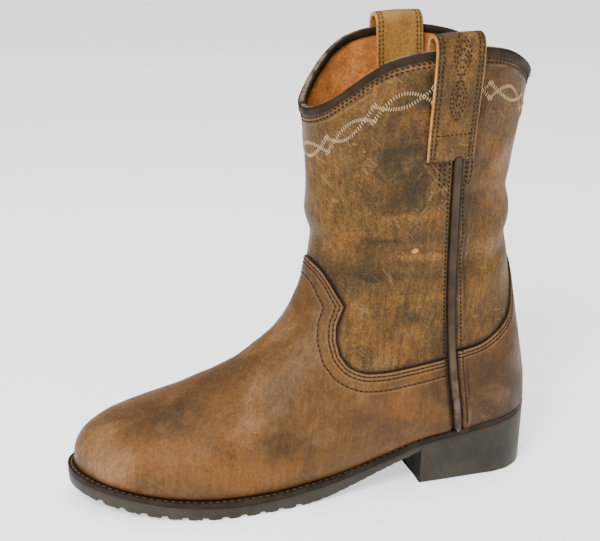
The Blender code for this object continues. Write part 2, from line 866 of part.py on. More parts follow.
def make_piping(name, last, side):
    """Half-round bead along the side seam, on the strip between counter and vamp."""
    rows = last.sides[side]
    rear = np.append(rows["counter"][:, -1], rows["shaft"][1:, COUNTER_COLUMNS - 1])
    front = np.append(rows["vamp"][:, 0], rows["shaft"][1:, COUNTER_COLUMNS])
    line = (last.points[rear] + last.points[front]) / 2
    lift = last.out[rear] + last.out[front]
    top = BOOT_HEIGHT - STRAP_DROP - GAP
    below = int(np.searchsorted(line[:, 2], top))
    share = (top - line[below - 1, 2]) / (line[below, 2] - line[below - 1, 2])
    end = line[below - 1] + share * (line[below] - line[below - 1])
    path = np.vstack([line[:below], end])
    lift = lift[:below + 1] / np.linalg.norm(lift[:below + 1], axis=1, keepdims=True)
    run = np.gradient(path, axis=0)
    run = run / np.linalg.norm(run, axis=1, keepdims=True)
    across = np.cross(lift, run)
    sections = []
    for turn in np.linspace(0, np.pi, PIPING_SIDES):
        rise = GAP + PIPING_HEIGHT * np.sin(turn) ** PIPING_POWER
        sections.append(path + PIPING_WIDTH / 2 * np.cos(turn) * across + rise * lift)
    bead = np.stack(sections, 1)
    bead[0, :, 2] = feather(bead[0, :, 1])
    bead[-1, :, 2] = top
    loft(bead).make(name, PIPING_LEATHER)


def strap_path(rim):
    """Strap's middle line: distance out from the upper's outer face, and height."""
    lift = 2 * GAP + STRAP_THICKNESS / 2
    low = BOOT_HEIGHT - STRAP_DROP
    z = np.linspace(low, rim, STRAP_RISE_ROWS)
    away = ease((z - low) / (rim - low))
    outer = lift + away * STRAP_STAND
    inner = -WALL - lift - away * STRAP_STAND_INSIDE
    centre = (outer[-1] + inner[-1]) / 2
    half = (outer[-1] - inner[-1]) / 2
    turn = np.linspace(0, np.pi, STRAP_ARCH_ROWS)[1:-1]
    arch = STRAP_RISE - STRAP_THICKNESS / 2
    over = np.stack([centre + half * np.cos(turn), rim + arch * np.sin(turn) ** STRAP_POWER], 1)
    return np.concatenate([np.stack([outer, z], 1), over, np.stack([inner, z], 1)[::-1]])


def make_strap(name, side):
    """Pull strap that loops over the collar."""
    columns = []
    for y in STRAP_PLACE + STRAP_WIDTH * np.linspace(-0.5, 0.5, STRAP_COLUMNS):
        rim = float(collar_z(collar_share(y)))
        path = strap_path(rim)
        run = np.gradient(path, axis=0)
        out = np.stack([run[:, 1], -run[:, 0]], 1) / np.linalg.norm(run, axis=1, keepdims=True)
        faces = []
        for half in (STRAP_THICKNESS / 2, -STRAP_THICKNESS / 2):
            face = path + half * out
            middle, wide = form(np.full(len(face), y), np.minimum(face[:, 1], rim))
            x = middle + side * (wide + face[:, 0])
            faces.append(np.stack([x, np.full(len(face), y), face[:, 1]], 1))
        columns.append(faces)
    outer, inner = (np.stack([faces[k] for faces in columns], 1) for k in (0, 1))
    shell(outer, inner, closed=False).make(name, SHAFT_LEATHER)


def make_welt(last):
    """Strip around the upper's edge that is stitched to the sole."""
    plan = last.points[last.edge, :2]
    grids = []
    for ring in (grown(plan, 0, True), grown(plan, -WALL - WELT_INSIDE, False)):
        top = feather(ring[:, 1]) - GAP
        grids.append(np.stack([np.column_stack([ring, top]), np.column_stack([ring, top - WELT_THICKNESS])]))
    shell(*grids, closed=True).make("welt", WELT_LEATHER)


def sole_top(y):
    return feather(y) - 2 * GAP - WELT_THICKNESS


def underside(y):
    """Height of the tread, with the shank's rise to the heel's top."""
    breast = sole_top(HEEL_LENGTH) - SHANK_THICKNESS
    share = y / SOLE_LENGTH
    shank = flow(share, column(UNDERSIDE, 0), column(UNDERSIDE, 1))
    spring = flow(share, column(UNDERSIDE, 0), column(UNDERSIDE, 2))
    seat = sole_top(y) - SHANK_THICKNESS
    front = np.clip(breast * shank, 0, None) + TOE_SPRING * np.clip(spring, 0, None)
    return np.where(y < HEEL_LENGTH, seat, np.minimum(front, seat))


def with_grooves(y, grooves):
    """Rows with both lips of each groove, and which rows lie in one."""
    half = GROOVE_SHARE / 2 * SOLE_LENGTH
    lips = []
    for share in grooves:
        centre = share * SOLE_LENGTH
        lips += [centre - half - LUG_SLOPE, centre - half, centre + half, centre + half + LUG_SLOPE]
    lips = np.array(lips)
    clear = 2 * LUG_SLOPE
    free = [row for row in y if np.abs(lips - row).min() > clear or row in (y[0], y[-1])]
    rows = np.sort(np.concatenate([free, lips]))
    centres = np.array(grooves) * SOLE_LENGTH
    cut = np.abs(rows[:, None] - centres[None]).min(1) < half + LUG_SLOPE / 2
    return rows, cut


def tread_sections(y, cut, channel, top, bottom, taper):
    """Cross-sections of a plate with lugs; cut rows lie in a groove, channel rows have one lengthwise."""
    left, right = edges(y, 0, True)
    sides = []
    for step in (SIDE_STEP, 0, taper):
        inset = np.minimum(step, (right - left) * TIP_INSET)
        sides.append((left + inset, right - inset))
    heights = (top, top - SIDE_STEP * 2, bottom + cut * LUG_DEPTH)
    lateral = [np.stack([side[0], y, z], 1) for side, z in zip(sides, heights)]
    medial = [np.stack([side[1], y, z], 1) for side, z in zip(sides, heights)]
    width = sides[-1][1] - sides[-1][0]
    tread = []
    for share, deep in zip(CHANNEL, (False, True, True, False)):
        z = bottom + (cut | (channel & deep)) * LUG_DEPTH
        tread.append(np.stack([sides[-1][0] + width * share, y, z], 1))
    return np.stack(lateral + tread + medial[::-1], 1)


def make_outsole():
    y = SOLE_LENGTH * round_shares(OUTSOLE_ROWS)
    y[0] += GAP
    y[-1] -= GAP
    y = y[np.abs(y - HEEL_LENGTH) > BREAST_CLEAR]
    y = np.sort(np.concatenate([y, [HEEL_LENGTH - LUG_SLOPE, HEEL_LENGTH + LUG_SLOPE]]))
    rows, cut = with_grooves(y, FOREPART_GROOVES)
    channel = (rows > SOLE_LENGTH * FOREPART_GROOVES[0]) & (rows < SOLE_LENGTH * FOREPART_GROOVES[-1])
    sections = tread_sections(rows, cut, channel, sole_top(rows), underside(rows), SIDE_STEP)
    loft(sections).make("outsole", RUBBER)


def make_heel():
    y = SOLE_LENGTH * round_shares(HEEL_ROWS)
    y[0] += GAP
    y = np.append(y[y < HEEL_LENGTH - BREAST_CLEAR], HEEL_LENGTH)
    rows, cut = with_grooves(y, HEEL_GROOVES)
    top = sole_top(rows) - SHANK_THICKNESS - GAP
    none = np.zeros(len(rows), bool)
    sections = tread_sections(rows, cut, none, top, np.zeros_like(rows), 3 * SIDE_STEP)
    loft(sections).make("heel", RUBBER)


def make_insole():
    reach = -WALL - WELT_INSIDE - 2 * GAP
    y = form_y(round_shares(INSOLE_ROWS))
    y[0] -= reach - GAP
    y[-1] += reach - GAP
    y = y[(y >= y[0]) & (y <= y[-1])]
    lateral, medial = edges(y, reach, False)
    low = sole_top(y) + GAP
    high = feather(y) + INSOLE_RISE
    corners = ((lateral, low), (medial, low), (medial, high), (lateral, high))
    sections = np.stack([np.stack([x, y, z], 1) for x, z in corners], 1)
    loft(sections).make("insole", INSOLE_LEATHER)


def main():
    for old in list(bpy.data.objects):
        bpy.data.objects.remove(old)
    last = Form()
    last.skin(last.faces("counter", "vamp", "shaft"), 0, -WALL).make("upper", SHAFT_LEATHER)
    for name in ("vamp", "counter"):
        last.skin(last.faces(name), GAP + OVERLAY, GAP).make(name, VAMP_LEATHER)
    make_binding(last)
    for side, word in ((-1, "lateral"), (1, "medial")):
        make_piping("side_piping_" + word, last, side)
        make_strap("pull_strap_" + word, side)
    make_welt(last)
    make_outsole()
    make_heel()
    make_insole()


main()
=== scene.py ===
"""Looks of the roper boot: fine surfaces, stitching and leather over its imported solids."""

import bpy
import numpy as np
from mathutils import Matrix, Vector
from mathutils.bvhtree import BVHTree


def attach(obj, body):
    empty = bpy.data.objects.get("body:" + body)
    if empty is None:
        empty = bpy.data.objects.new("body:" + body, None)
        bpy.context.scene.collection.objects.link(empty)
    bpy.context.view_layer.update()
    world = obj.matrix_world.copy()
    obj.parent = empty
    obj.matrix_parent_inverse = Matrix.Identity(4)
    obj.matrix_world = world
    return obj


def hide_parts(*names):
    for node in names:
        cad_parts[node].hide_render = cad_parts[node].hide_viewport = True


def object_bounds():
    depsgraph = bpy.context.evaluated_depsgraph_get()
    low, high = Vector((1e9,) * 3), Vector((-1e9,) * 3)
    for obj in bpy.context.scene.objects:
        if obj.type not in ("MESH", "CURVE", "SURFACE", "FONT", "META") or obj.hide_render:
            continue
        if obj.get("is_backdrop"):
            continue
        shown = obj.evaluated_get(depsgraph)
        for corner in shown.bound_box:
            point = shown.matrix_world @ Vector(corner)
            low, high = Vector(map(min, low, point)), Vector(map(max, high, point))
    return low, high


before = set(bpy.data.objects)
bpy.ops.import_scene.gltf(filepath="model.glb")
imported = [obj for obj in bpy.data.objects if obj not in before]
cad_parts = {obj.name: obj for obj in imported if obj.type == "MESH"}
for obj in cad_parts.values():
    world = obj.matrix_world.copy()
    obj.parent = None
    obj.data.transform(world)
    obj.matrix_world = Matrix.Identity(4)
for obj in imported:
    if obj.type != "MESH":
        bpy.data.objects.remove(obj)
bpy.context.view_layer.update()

# Driving sizes
SOLE_LENGTH = 0.301
BALL_WIDTH = 0.0915
SHAFT_WIDTH = 0.110
BOOT_HEIGHT = 0.281
FRONT_DIP = 0.0395
BACK_DIP = 0.0235
INSTEP_RISE = 0.135
SEAT_HEIGHT = 0.0445
FOREPART_HEIGHT = 0.0118
TOE_SPRING = 0.0105
HEEL_LENGTH = 0.082
TOE_ROUND = 0.084
HEEL_ROUND = 0.034
PIVOT_Y = 0.209
PIVOT_Z = 0.172

# Walls and thicknesses
WALL = 0.0024
GAP = 0.0003
BESIDE_GAP = 0.0004
OVERLAY = 0.0014
BINDING = 0.0010
BINDING_DEPTH = 0.0042
WELT_THICKNESS = 0.0032
WELT_TOE = 0.0060
WELT_BACK = 0.0018
SHANK_THICKNESS = 0.0045
SIDE_STEP = 0.0007
LUG_DEPTH = 0.0026
LUG_SLOPE = 0.0004

# Trim
PEAK_CLIMB = 0.136
COUNTER_CLIMB = 0.096
PIPING_WIDTH = 0.0052
PIPING_HEIGHT = 0.0026
STRAP_WIDTH = 0.031
STRAP_THICKNESS = 0.0026
STRAP_PLACE = 0.073
STRAP_DROP = 0.066
STRAP_STAND = 0.0048
STRAP_STAND_INSIDE = 0.0036
STRAP_RISE = 0.0105

# Roundness of ends: powers of their curves
TOE_POWER = 2.3
PIPING_POWER = 0.7
STRAP_POWER = 0.6

# Counts of rows, columns and samples
FOOT_ROWS = 90
SHAFT_ROWS = 70
COUNTER_COLUMNS = 56
SIDE_COLUMNS = 60
FRONT_COLUMNS = 64
STRAP_RISE_ROWS = 9
STRAP_ARCH_ROWS = 11
CURVE_SAMPLES = 400

# Spacing of the grids: how far rows are drawn to the ends, and how firmly borders hold their lines
ROUND_SPREAD = 0.03
RIDGE_SPREAD = 0.07
FRONT_SPREAD = 1.15
RIDGE_HOLD = 4
COLLAR_HOLD = 2.5
WELD = 0.000001

FORM_BACK = WELT_BACK
FORM_TIP = SOLE_LENGTH - WELT_TOE
FORM_LENGTH = FORM_TIP - FORM_BACK
HEEL_MIDDLE = HEEL_LENGTH / 2
PEAK_HEIGHT = FOREPART_HEIGHT + PEAK_CLIMB
COUNTER_HEIGHT = SEAT_HEIGHT + COUNTER_CLIMB


def table(*rows):
    """Rows of numbers given in thousandths."""
    return [[number / 1000 for number in row] for row in rows]


# Plan outline of the form. along: share of its length; half, shift: shares of the ball width.
# shift is the middle line's way to the medial side.
OUTLINE = table(
    # along, half, shift
    (0, 352, 0), (120, 352, -3), (220, 357, -12), (320, 350, -26), (420, 362, -36), (520, 405, -36),
    (620, 467, -28), (720, 500, -10), (800, 500, 16), (880, 500, 46), (1000, 500, 86),
)

# Height of the edge where the upper meets the welt. along: share of the sole's length;
# seat: share of the seat's rise over the forepart; spring: share of the toe spring.
FEATHER = table(
    # along, seat, spring
    (0, 1000, 0), (60, 880, 0), (143, 745, 0), (272, 580, 0), (355, 360, 0), (455, 130, 0), (555, 25, 0),
    (670, 0, 0), (770, 0, 60), (860, 0, 280), (935, 0, 640), (1000, 0, 1000),
)

# Underside of the forepart and shank. along: share of the sole's length;
# spring: share of the toe spring; shank: share of the way up to the heel's top.
UNDERSIDE = table(
    # along, shank, spring
    (275, 1000, 0), (355, 630, 0), (430, 290, 0), (490, 75, 0), (535, 0, 0), (745, 0, 0), (810, 0, 100),
    (875, 0, 300), (940, 0, 620), (1000, 0, 1000),
)

# Ridge over the toes and instep. along: share of the form's length;
# climb: share of the instep's rise over the forepart.
RIDGE = table(
    # along, climb
    (998.5, 140), (990, 187), (971, 231), (935, 270), (884, 311), (809, 359), (738, 411), (662, 489),
    (587, 607), (549, 693), (516, 818), (497.5, 965),
)

# Front and back lines of the shaft. climb: share of the boot's height;
# front, back: shares of the form's length.
SHAFT_FRONT = table(
    # climb, front
    (572, 493.5), (645, 495.5), (755, 500.5), (860, 507), (950, 515.5), (1070, 526),
)
BACK_LINE = table(
    # climb, back
    (150, 0), (180, 0), (215, 2), (265, 9.5), (320, 18.5), (380, 29), (450, 39.5), (520, 48), (590, 51.5),
    (660, 51), (730, 46), (795, 37.5), (860, 27.5), (925, 17), (1000, 5), (1080, -7),
)

# Rounding of the back. climb: share of the boot's height; radius: share of the sole's length.
BACK_ROUND = table(
    # climb, radius, power
    (155, 113, 2200), (300, 140, 2200), (430, 178, 2150), (615, 225, 2050), (1070, 255, 2000),
)

# Cross-sections. station: 0 to 1 toe to ball, 1 to 2 instep to ankle, 2 to 3 shaft; foot, leg: shares
# of the ball and shaft widths that add up to the half width; crest: share of the ball width that the
# ridge lies to the medial side; widest: share of the way from base to ridge; low, top, root: roundness.
SECTION = table(
    # station, foot, leg, crest, widest, low, top, root
    (0, 536, 0, 86, 300, 3000, 2300, 2000), (350, 539, 0, 71, 300, 3000, 2200, 2000),
    (700, 542, 0, 55, 290, 3000, 2100, 1950), (1000, 525, 0, 44, 280, 3000, 2000, 1850),
    (1150, 486, 0, 33, 290, 3000, 2000, 1800), (1300, 420, 22, 22, 330, 3200, 2000, 1800),
    (1450, 330, 77, 11, 400, 3600, 2000, 1850), (1600, 220, 161, 5, 450, 4000, 2000, 1900),
    (1750, 110, 259, 0, 480, 4000, 2000, 1950), (2000, 0, 391, 0, 500, 3000, 2100, 2000),
    (2350, 0, 436, 0, 500, 3000, 2100, 2000), (2700, 0, 473, 0, 500, 3000, 2100, 2000),
    (3000, 0, 500, 0, 500, 3000, 2000, 2000), (3300, 0, 523, 0, 500, 3000, 2000, 2000),
)

# Collar seen from the side. along: share from back to front; rise: share of the way to the ears.
TOPLINE = table(
    # along, rise
    (0, 0), (40, 220), (90, 480), (170, 770), (280, 950), (420, 1000), (550, 970), (640, 920), (720, 830),
    (790, 680), (870, 430), (950, 150), (1000, 0),
)

# Welt's overhang. along: share of the form's length; share: of the way from its back to its toe value.
OVERHANG = table(
    # along, share
    (0, 0), (180, 120), (340, 450), (550, 850), (750, 1000), (1000, 1000),
)

# Vamp's seam along the side, from the piping to the corner below the tongue-shaped peak, and up the
# front to the peak. along: share of the form's length; climb: share of the way from forepart to peak.
VAMP_SIDE_SEAM = table(
    # along, climb
    (235, 542), (308, 512), (370, 500), (412, 508), (440, 540), (455, 586),
)
VAMP_FRONT_SEAM = table(
    # along, climb
    (455, 586), (460, 650), (456, 715), (445, 770), (438, 800), (448, 840), (463, 905), (478, 960),
)
CORNER_ALONG = 0.68

# Counter's seam from the back seam to the side piping. along: share of the form's length;
# climb: share of the way from the seat to the seam's top.
COUNTER_SEAM = table(
    # along, climb
    (50, 830), (70, 655), (100, 580), (145, 510), (195, 470),
)

# Side piping. climb: share of the boot's height; along: share of the sole's length.
PIPING = table(
    # climb, along
    (125, 189), (290, 210), (370, 216), (450, 220), (610, 223), (780, 226),
)

# Grooves across the tread. along: share of the sole's length.
FOREPART_GROOVES = tuple(0.550 + 0.0400 * number for number in range(11))
HEEL_GROOVES = (0.055, 0.205)
GROOVE_SHARE = 0.0105
CHANNEL = (0.455, 0.461, 0.5, 0.539, 0.545)


def flow(x, xs, ys):
    """Smooth curve through the rows of a table, straight beyond its ends."""
    x = np.asarray(x, float)
    xs = np.asarray(xs, float)
    ys = np.asarray(ys, float)
    slope = np.gradient(ys, xs)
    low = np.clip(np.searchsorted(xs, x, side="right") - 1, 0, len(xs) - 2)
    step = xs[low + 1] - xs[low]
    t = (x - xs[low]) / step
    c = np.clip(t, 0, 1)
    curve = (1 + 2 * c) * (1 - c) ** 2 * ys[low] + c * (1 - c) ** 2 * step * slope[low]
    curve += c * c * (3 - 2 * c) * ys[low + 1] + c * c * (c - 1) * step * slope[low + 1]
    return curve + (t - c) * step * np.where(t > 1, slope[low + 1], slope[low])


def read(rows, x, k=1):
    """Smooth curve through column k of a table over its first column."""
    return flow(x, [row[0] for row in rows], [row[k] for row in rows])


def ease(x):
    c = np.clip(x, 0, 1)
    return c * c * (3 - 2 * c)


def dome(x, power):
    """Rounded end: one while x is below zero, zero at one."""
    return np.sqrt(np.clip(1 - np.clip(x, 0, 1) ** power, 0, 1))


def hill(away, width):
    return np.exp(-(away / width) ** 2)


def lengths_of(path):
    """Length of a path up to each of its points."""
    return np.cumsum(np.append(0, np.linalg.norm(np.diff(path, axis=0), axis=1)))


def sample(at, lengths, path):
    """Points of a path at given lengths."""
    return np.stack([np.interp(at, lengths, path[:, k]) for k in range(path.shape[1])], 1)


def along_path(path, shares):
    """Points at shares of the length of a path."""
    lengths = lengths_of(path)
    return sample(shares * lengths[-1], lengths, path)


def smooth_path(rows):
    """Smooth curve through points, evenly sampled."""
    lengths = lengths_of(rows)
    at = np.linspace(0, lengths[-1], CURVE_SAMPLES)
    return np.stack([flow(at, lengths, rows[:, 0]), flow(at, lengths, rows[:, 1])], 1)


# The form's lines seen from the side


def form_y(share):
    return FORM_BACK + np.asarray(share, float) * FORM_LENGTH


def feather(y):
    share = y / SOLE_LENGTH
    seat = read(FEATHER, share)
    spring = read(FEATHER, share, 2)
    return FOREPART_HEIGHT + (SEAT_HEIGHT - FOREPART_HEIGHT) * seat + TOE_SPRING * spring


def front_path():
    toe = [[FORM_TIP, float(feather(FORM_TIP))]]
    foot = [[form_y(along), FOREPART_HEIGHT + INSTEP_RISE * climb] for along, climb in RIDGE]
    shaft = [[form_y(front), BOOT_HEIGHT * climb] for climb, front in SHAFT_FRONT]
    return smooth_path(np.array(toe + foot + shaft))


FRONT = front_path()
FRONT_CORNER = int(np.argmin(FRONT[:, 0]))


def front_y(z):
    return np.interp(z, FRONT[:, 1], FRONT[:, 0])


def ridge_z(y):
    foot = FRONT[:FRONT_CORNER + 1]
    return np.interp(y, foot[::-1, 0], foot[::-1, 1])


def back_y(z):
    return form_y(read(BACK_LINE, z / BOOT_HEIGHT))


def collar_z(share):
    """Height of the collar at a share from back to front."""
    back = BOOT_HEIGHT - BACK_DIP
    ends = back + (BACK_DIP - FRONT_DIP) * ease(share)
    return ends + (BOOT_HEIGHT - ends) * read(TOPLINE, share)


def piping_y(z):
    return SOLE_LENGTH * read(PIPING, z / BOOT_HEIGHT)


# The form's widths


def outline(y):
    """Middle line and half width of the plan outline, without the heel's rounding."""
    share = (y - FORM_BACK) / FORM_LENGTH
    middle = BALL_WIDTH * read(OUTLINE, share, 2)
    half = BALL_WIDTH * read(OUTLINE, share)
    return middle, half * toe_round(y)


def toe_round(y):
    return dome((y - FORM_TIP + TOE_ROUND) / TOE_ROUND, TOE_POWER)


def back_round(y, z):
    climb = z / BOOT_HEIGHT
    radius = HEEL_ROUND + SOLE_LENGTH * (read(BACK_ROUND, climb)
                                         - BACK_ROUND[0][1])
    power = read(BACK_ROUND, climb, 2)
    return dome((back_y(z) + radius - y) / radius, power)


def fan(path):
    """Angle from straight down and distance of a path's points, seen from the pivot."""
    across = PIVOT_Y - path[:, 0]
    down = PIVOT_Z - path[:, 1]
    order = np.argsort(np.arctan2(across, down))
    return np.arctan2(across, down)[order], np.hypot(across, down)[order]


def base_path():
    y = np.linspace(PIVOT_Y, FORM_BACK, CURVE_SAMPLES)
    z = np.linspace(float(feather(FORM_BACK)), PIVOT_Z, CURVE_SAMPLES)[1:]
    return np.concatenate([np.stack([y, feather(y)], 1), np.stack([back_y(z), z], 1)])


BASE_ANGLE, BASE_REACH = fan(base_path())
NEAR_PIVOT = (FRONT[:, 0] < PIVOT_Y + WALL) & (FRONT[:, 1] < PIVOT_Z + WALL)
RIDGE_ANGLE, RIDGE_REACH = fan(FRONT[NEAR_PIVOT])


def place(y, z):
    """Station, share from base to ridge, and base point of a side-view point."""
    foot = y >= PIVOT_Y
    shaft = (z >= PIVOT_Z) & ~foot
    angle = np.arctan2(PIVOT_Y - y, PIVOT_Z - z)
    reach = np.hypot(PIVOT_Y - y, PIVOT_Z - z)
    base = np.interp(angle, BASE_ANGLE, BASE_REACH)
    crest = np.interp(angle, RIDGE_ANGLE, RIDGE_REACH)
    low = feather(y)
    back = back_y(z)
    kinds = (foot, shaft)
    station = np.select(kinds, (
        (FORM_TIP - y) / (FORM_TIP - PIVOT_Y),
        2 + (z - PIVOT_Z) / (BOOT_HEIGHT - PIVOT_Z),
    ), 1 + angle / (np.pi / 2))
    share = np.select(kinds, (
        (z - low) / np.maximum(ridge_z(y) - low, GAP),
        (y - back) / (front_y(z) - back),
    ), (base - reach) / (base - crest))
    base_y = np.select(kinds, (y, back), PIVOT_Y - base * np.sin(angle))
    base_z = np.select(kinds, (low, z), PIVOT_Z - base * np.cos(angle))
    return station, np.clip(share, 0, 1), base_y, base_z


def form(y, z):
    """Middle and half width of the form at a side-view point."""
    station, share, base_y, base_z = place(y, z)
    foot, leg, crest, widest, low, top, root = (
        read(SECTION, station, k) for k in range(1, 8))
    wide = (BALL_WIDTH * foot + SHAFT_WIDTH * leg) * np.where(y > PIVOT_Y, toe_round(y), 1)
    middle, base_half = outline(np.maximum(base_y, FORM_BACK))
    behind = ease((base_z - feather(FORM_BACK)) / HEEL_ROUND) * (base_y < FORM_BACK + HEEL_ROUND)
    base_half = np.minimum(base_half, wide)
    base_half = base_half + (wide - base_half) * behind
    lower = base_half + (wide - base_half) * (1 - (1 - np.clip(share / widest, 0, 1)) ** low)
    upper = wide * (1 - np.clip((share - widest) / (1 - widest), 0, 1) ** top) ** (1 / root)
    half = np.where(share < widest, lower, upper) * back_round(y, z)
    return middle + (BALL_WIDTH * crest - middle) * ease(share), half


# Grids of points on the form


def patch(bottom, top, back, front, across, climb, hold=1, gather=1):
    """Side-view grid spanned between four border lines; back and front run from bottom to top.

    across and climb are the shares of its columns and rows. hold above one keeps the front border's
    bend near that border; gather above one makes the columns follow the top border's spacing sooner.
    """
    grid = []
    for k, front_power, top_power in ((0, hold, gather), (1, 1, 1)):
        u = (across ** front_power)[None]
        t = (1 - (1 - climb) ** top_power)[:, None]
        lines = (1 - u) * back[:, k, None] + u * front[:, k, None] + (1 - t) * bottom[None, :, k]
        lines += t * top[None, :, k]
        lines -= (1 - t) * ((1 - u) * bottom[0, k] + u * bottom[-1, k])
        lines -= t * ((1 - u) * top[0, k] + u * top[-1, k])
        grid.append(lines)
    return np.stack(grid, -1)


def round_shares(count):
    """Shares from back to front, close together at both ends."""
    s = np.linspace(0, 1, count)
    return (1 - np.cos(np.pi * (s + ROUND_SPREAD * np.sin(2 * np.pi * s)))) / 2


def back_shares(count):
    """Shares of the way from the back line to the side, close together at the back."""
    return 1 - np.cos(np.pi / 2 * np.linspace(0, 1, count))


def front_shares(count):
    """Shares of the way from the side to the front, close together at the front."""
    return np.sin(np.pi / 2 * np.linspace(0, 1, count) ** FRONT_SPREAD)


def ridge_shares(count):
    """Shares along the ridge that lie closer near the toe and the peak."""
    t = np.linspace(0, 1, count)
    return t - RIDGE_SPREAD * np.sin(2 * np.pi * t)


def beside(z, side):
    """The side piping's front or rear edge with its clearance."""
    return piping_y(z) + side * (PIPING_WIDTH / 2 + BESIDE_GAP)


def counter_seam():
    rows = [[form_y(along), SEAT_HEIGHT + COUNTER_CLIMB * climb] for along, climb in COUNTER_SEAM]
    rows.insert(0, [back_y(COUNTER_HEIGHT), COUNTER_HEIGHT])
    rows[-1][0] = beside(rows[-1][1], -1)
    return along_path(smooth_path(np.array(rows)), back_shares(COUNTER_COLUMNS))


def seam_rows(table):
    return np.array([[form_y(along), FOREPART_HEIGHT + PEAK_CLIMB * climb] for along, climb in table])


def side_seam():
    """Vamp's seam from the piping to the corner."""
    rows = seam_rows(VAMP_SIDE_SEAM)
    rows[0, 0] = beside(rows[0, 1], 1)
    return along_path(smooth_path(rows), np.sin(np.pi / 2 * np.linspace(0, 1, SIDE_COLUMNS)))


def front_seam():
    """Vamp's seam from the corner to the peak on the ridge."""
    rows = np.vstack([seam_rows(VAMP_FRONT_SEAM), [[front_y(PEAK_HEIGHT), PEAK_HEIGHT]]])
    return along_path(rows, np.sin(np.pi / 2 * np.linspace(0, 1, FRONT_COLUMNS)))


def feather_line(start, end, shares):
    y = start + (end - start) * shares
    return np.stack([y, feather(y)], 1)


def counter_patch():
    """Side-view grid of the counter, from the back line to the piping."""
    top = counter_seam()
    shares = back_shares(COUNTER_COLUMNS)
    bottom = feather_line(FORM_BACK, float(beside(SEAT_HEIGHT, -1)), shares)
    z = np.linspace(bottom[0, 1], top[0, 1], FOOT_ROWS)
    back = np.stack([back_y(z), z], 1)
    back[0] = bottom[0]
    z = np.linspace(bottom[-1, 1], top[-1, 1], FOOT_ROWS)
    side = np.stack([beside(z, -1), z], 1)
    side[0] = bottom[-1]
    return patch(bottom, top, back, side, shares, np.linspace(0, 1, FOOT_ROWS))


def vamp_patch():
    """Side-view grid of the vamp, from the piping to the ridge."""
    top = np.vstack([side_seam(), front_seam()[1:]])
    low = float(beside(SEAT_HEIGHT, 1))
    corner = (form_y(CORNER_ALONG) - low) / (FORM_TIP - low)
    side = corner * np.linspace(0, 1, SIDE_COLUMNS)
    front = corner + (1 - corner) * np.sin(np.pi / 2 * np.linspace(0, 1, FRONT_COLUMNS))
    shares = np.append(side, front[1:])
    bottom = feather_line(low, FORM_TIP, shares)
    z = np.linspace(bottom[0, 1], top[0, 1], FOOT_ROWS)
    back = np.stack([beside(z, 1), z], 1)
    back[0] = bottom[0]
    ridge = along_path(np.vstack([FRONT[FRONT[:, 1] < PEAK_HEIGHT], top[-1:]]), ridge_shares(FOOT_ROWS))
    return patch(bottom, top, back, ridge, shares, np.linspace(0, 1, FOOT_ROWS), hold=RIDGE_HOLD)


def collar_ends():
    back = float(collar_z(0))
    front = float(collar_z(1))
    return np.array([[back_y(back), back], [front_y(front), front]])


def collar_share(y):
    ends = collar_ends()
    return (y - ends[0, 0]) / (ends[1, 0] - ends[0, 0])


def shaft_patch():
    """Side-view grid of the shaft: level seams below, upright vamp seam and ridge in front."""
    ends = collar_ends()
    z = np.linspace(PEAK_HEIGHT, ends[1, 1], SHAFT_ROWS)[1:]
    front = np.concatenate([front_seam(), np.stack([front_y(z), z], 1)])
    length = lengths_of(front)
    climb = length / length[-1]
    parts = []
    for side, bottom, shares in (
        (-1, counter_seam(), back_shares(COUNTER_COLUMNS)),
        (1, side_seam(), front_shares(SIDE_COLUMNS)),
    ):
        rim = beside(BOOT_HEIGHT, side)
        start, end = (ends[0, 0], rim) if side < 0 else (rim, ends[1, 0])
        y = start + (end - start) * shares
        top = np.stack([y, collar_z(collar_share(y))], 1)
        seam = 0 if side > 0 else -1
        z = bottom[seam, 1] + (top[seam, 1] - bottom[seam, 1]) * climb
        piping = np.stack([beside(z, side), z], 1)
        piping[0] = bottom[seam]
        piping[-1] = top[seam]
        z = bottom[0, 1] + (top[0, 1] - bottom[0, 1]) * climb
        back = np.stack([back_y(z), z], 1)
        borders = (back, piping) if side < 0 else (piping, front)
        parts.append(patch(bottom, top, *borders, shares, climb, gather=1 if side < 0 else COLLAR_HOLD))
    return np.concatenate(parts, 1)


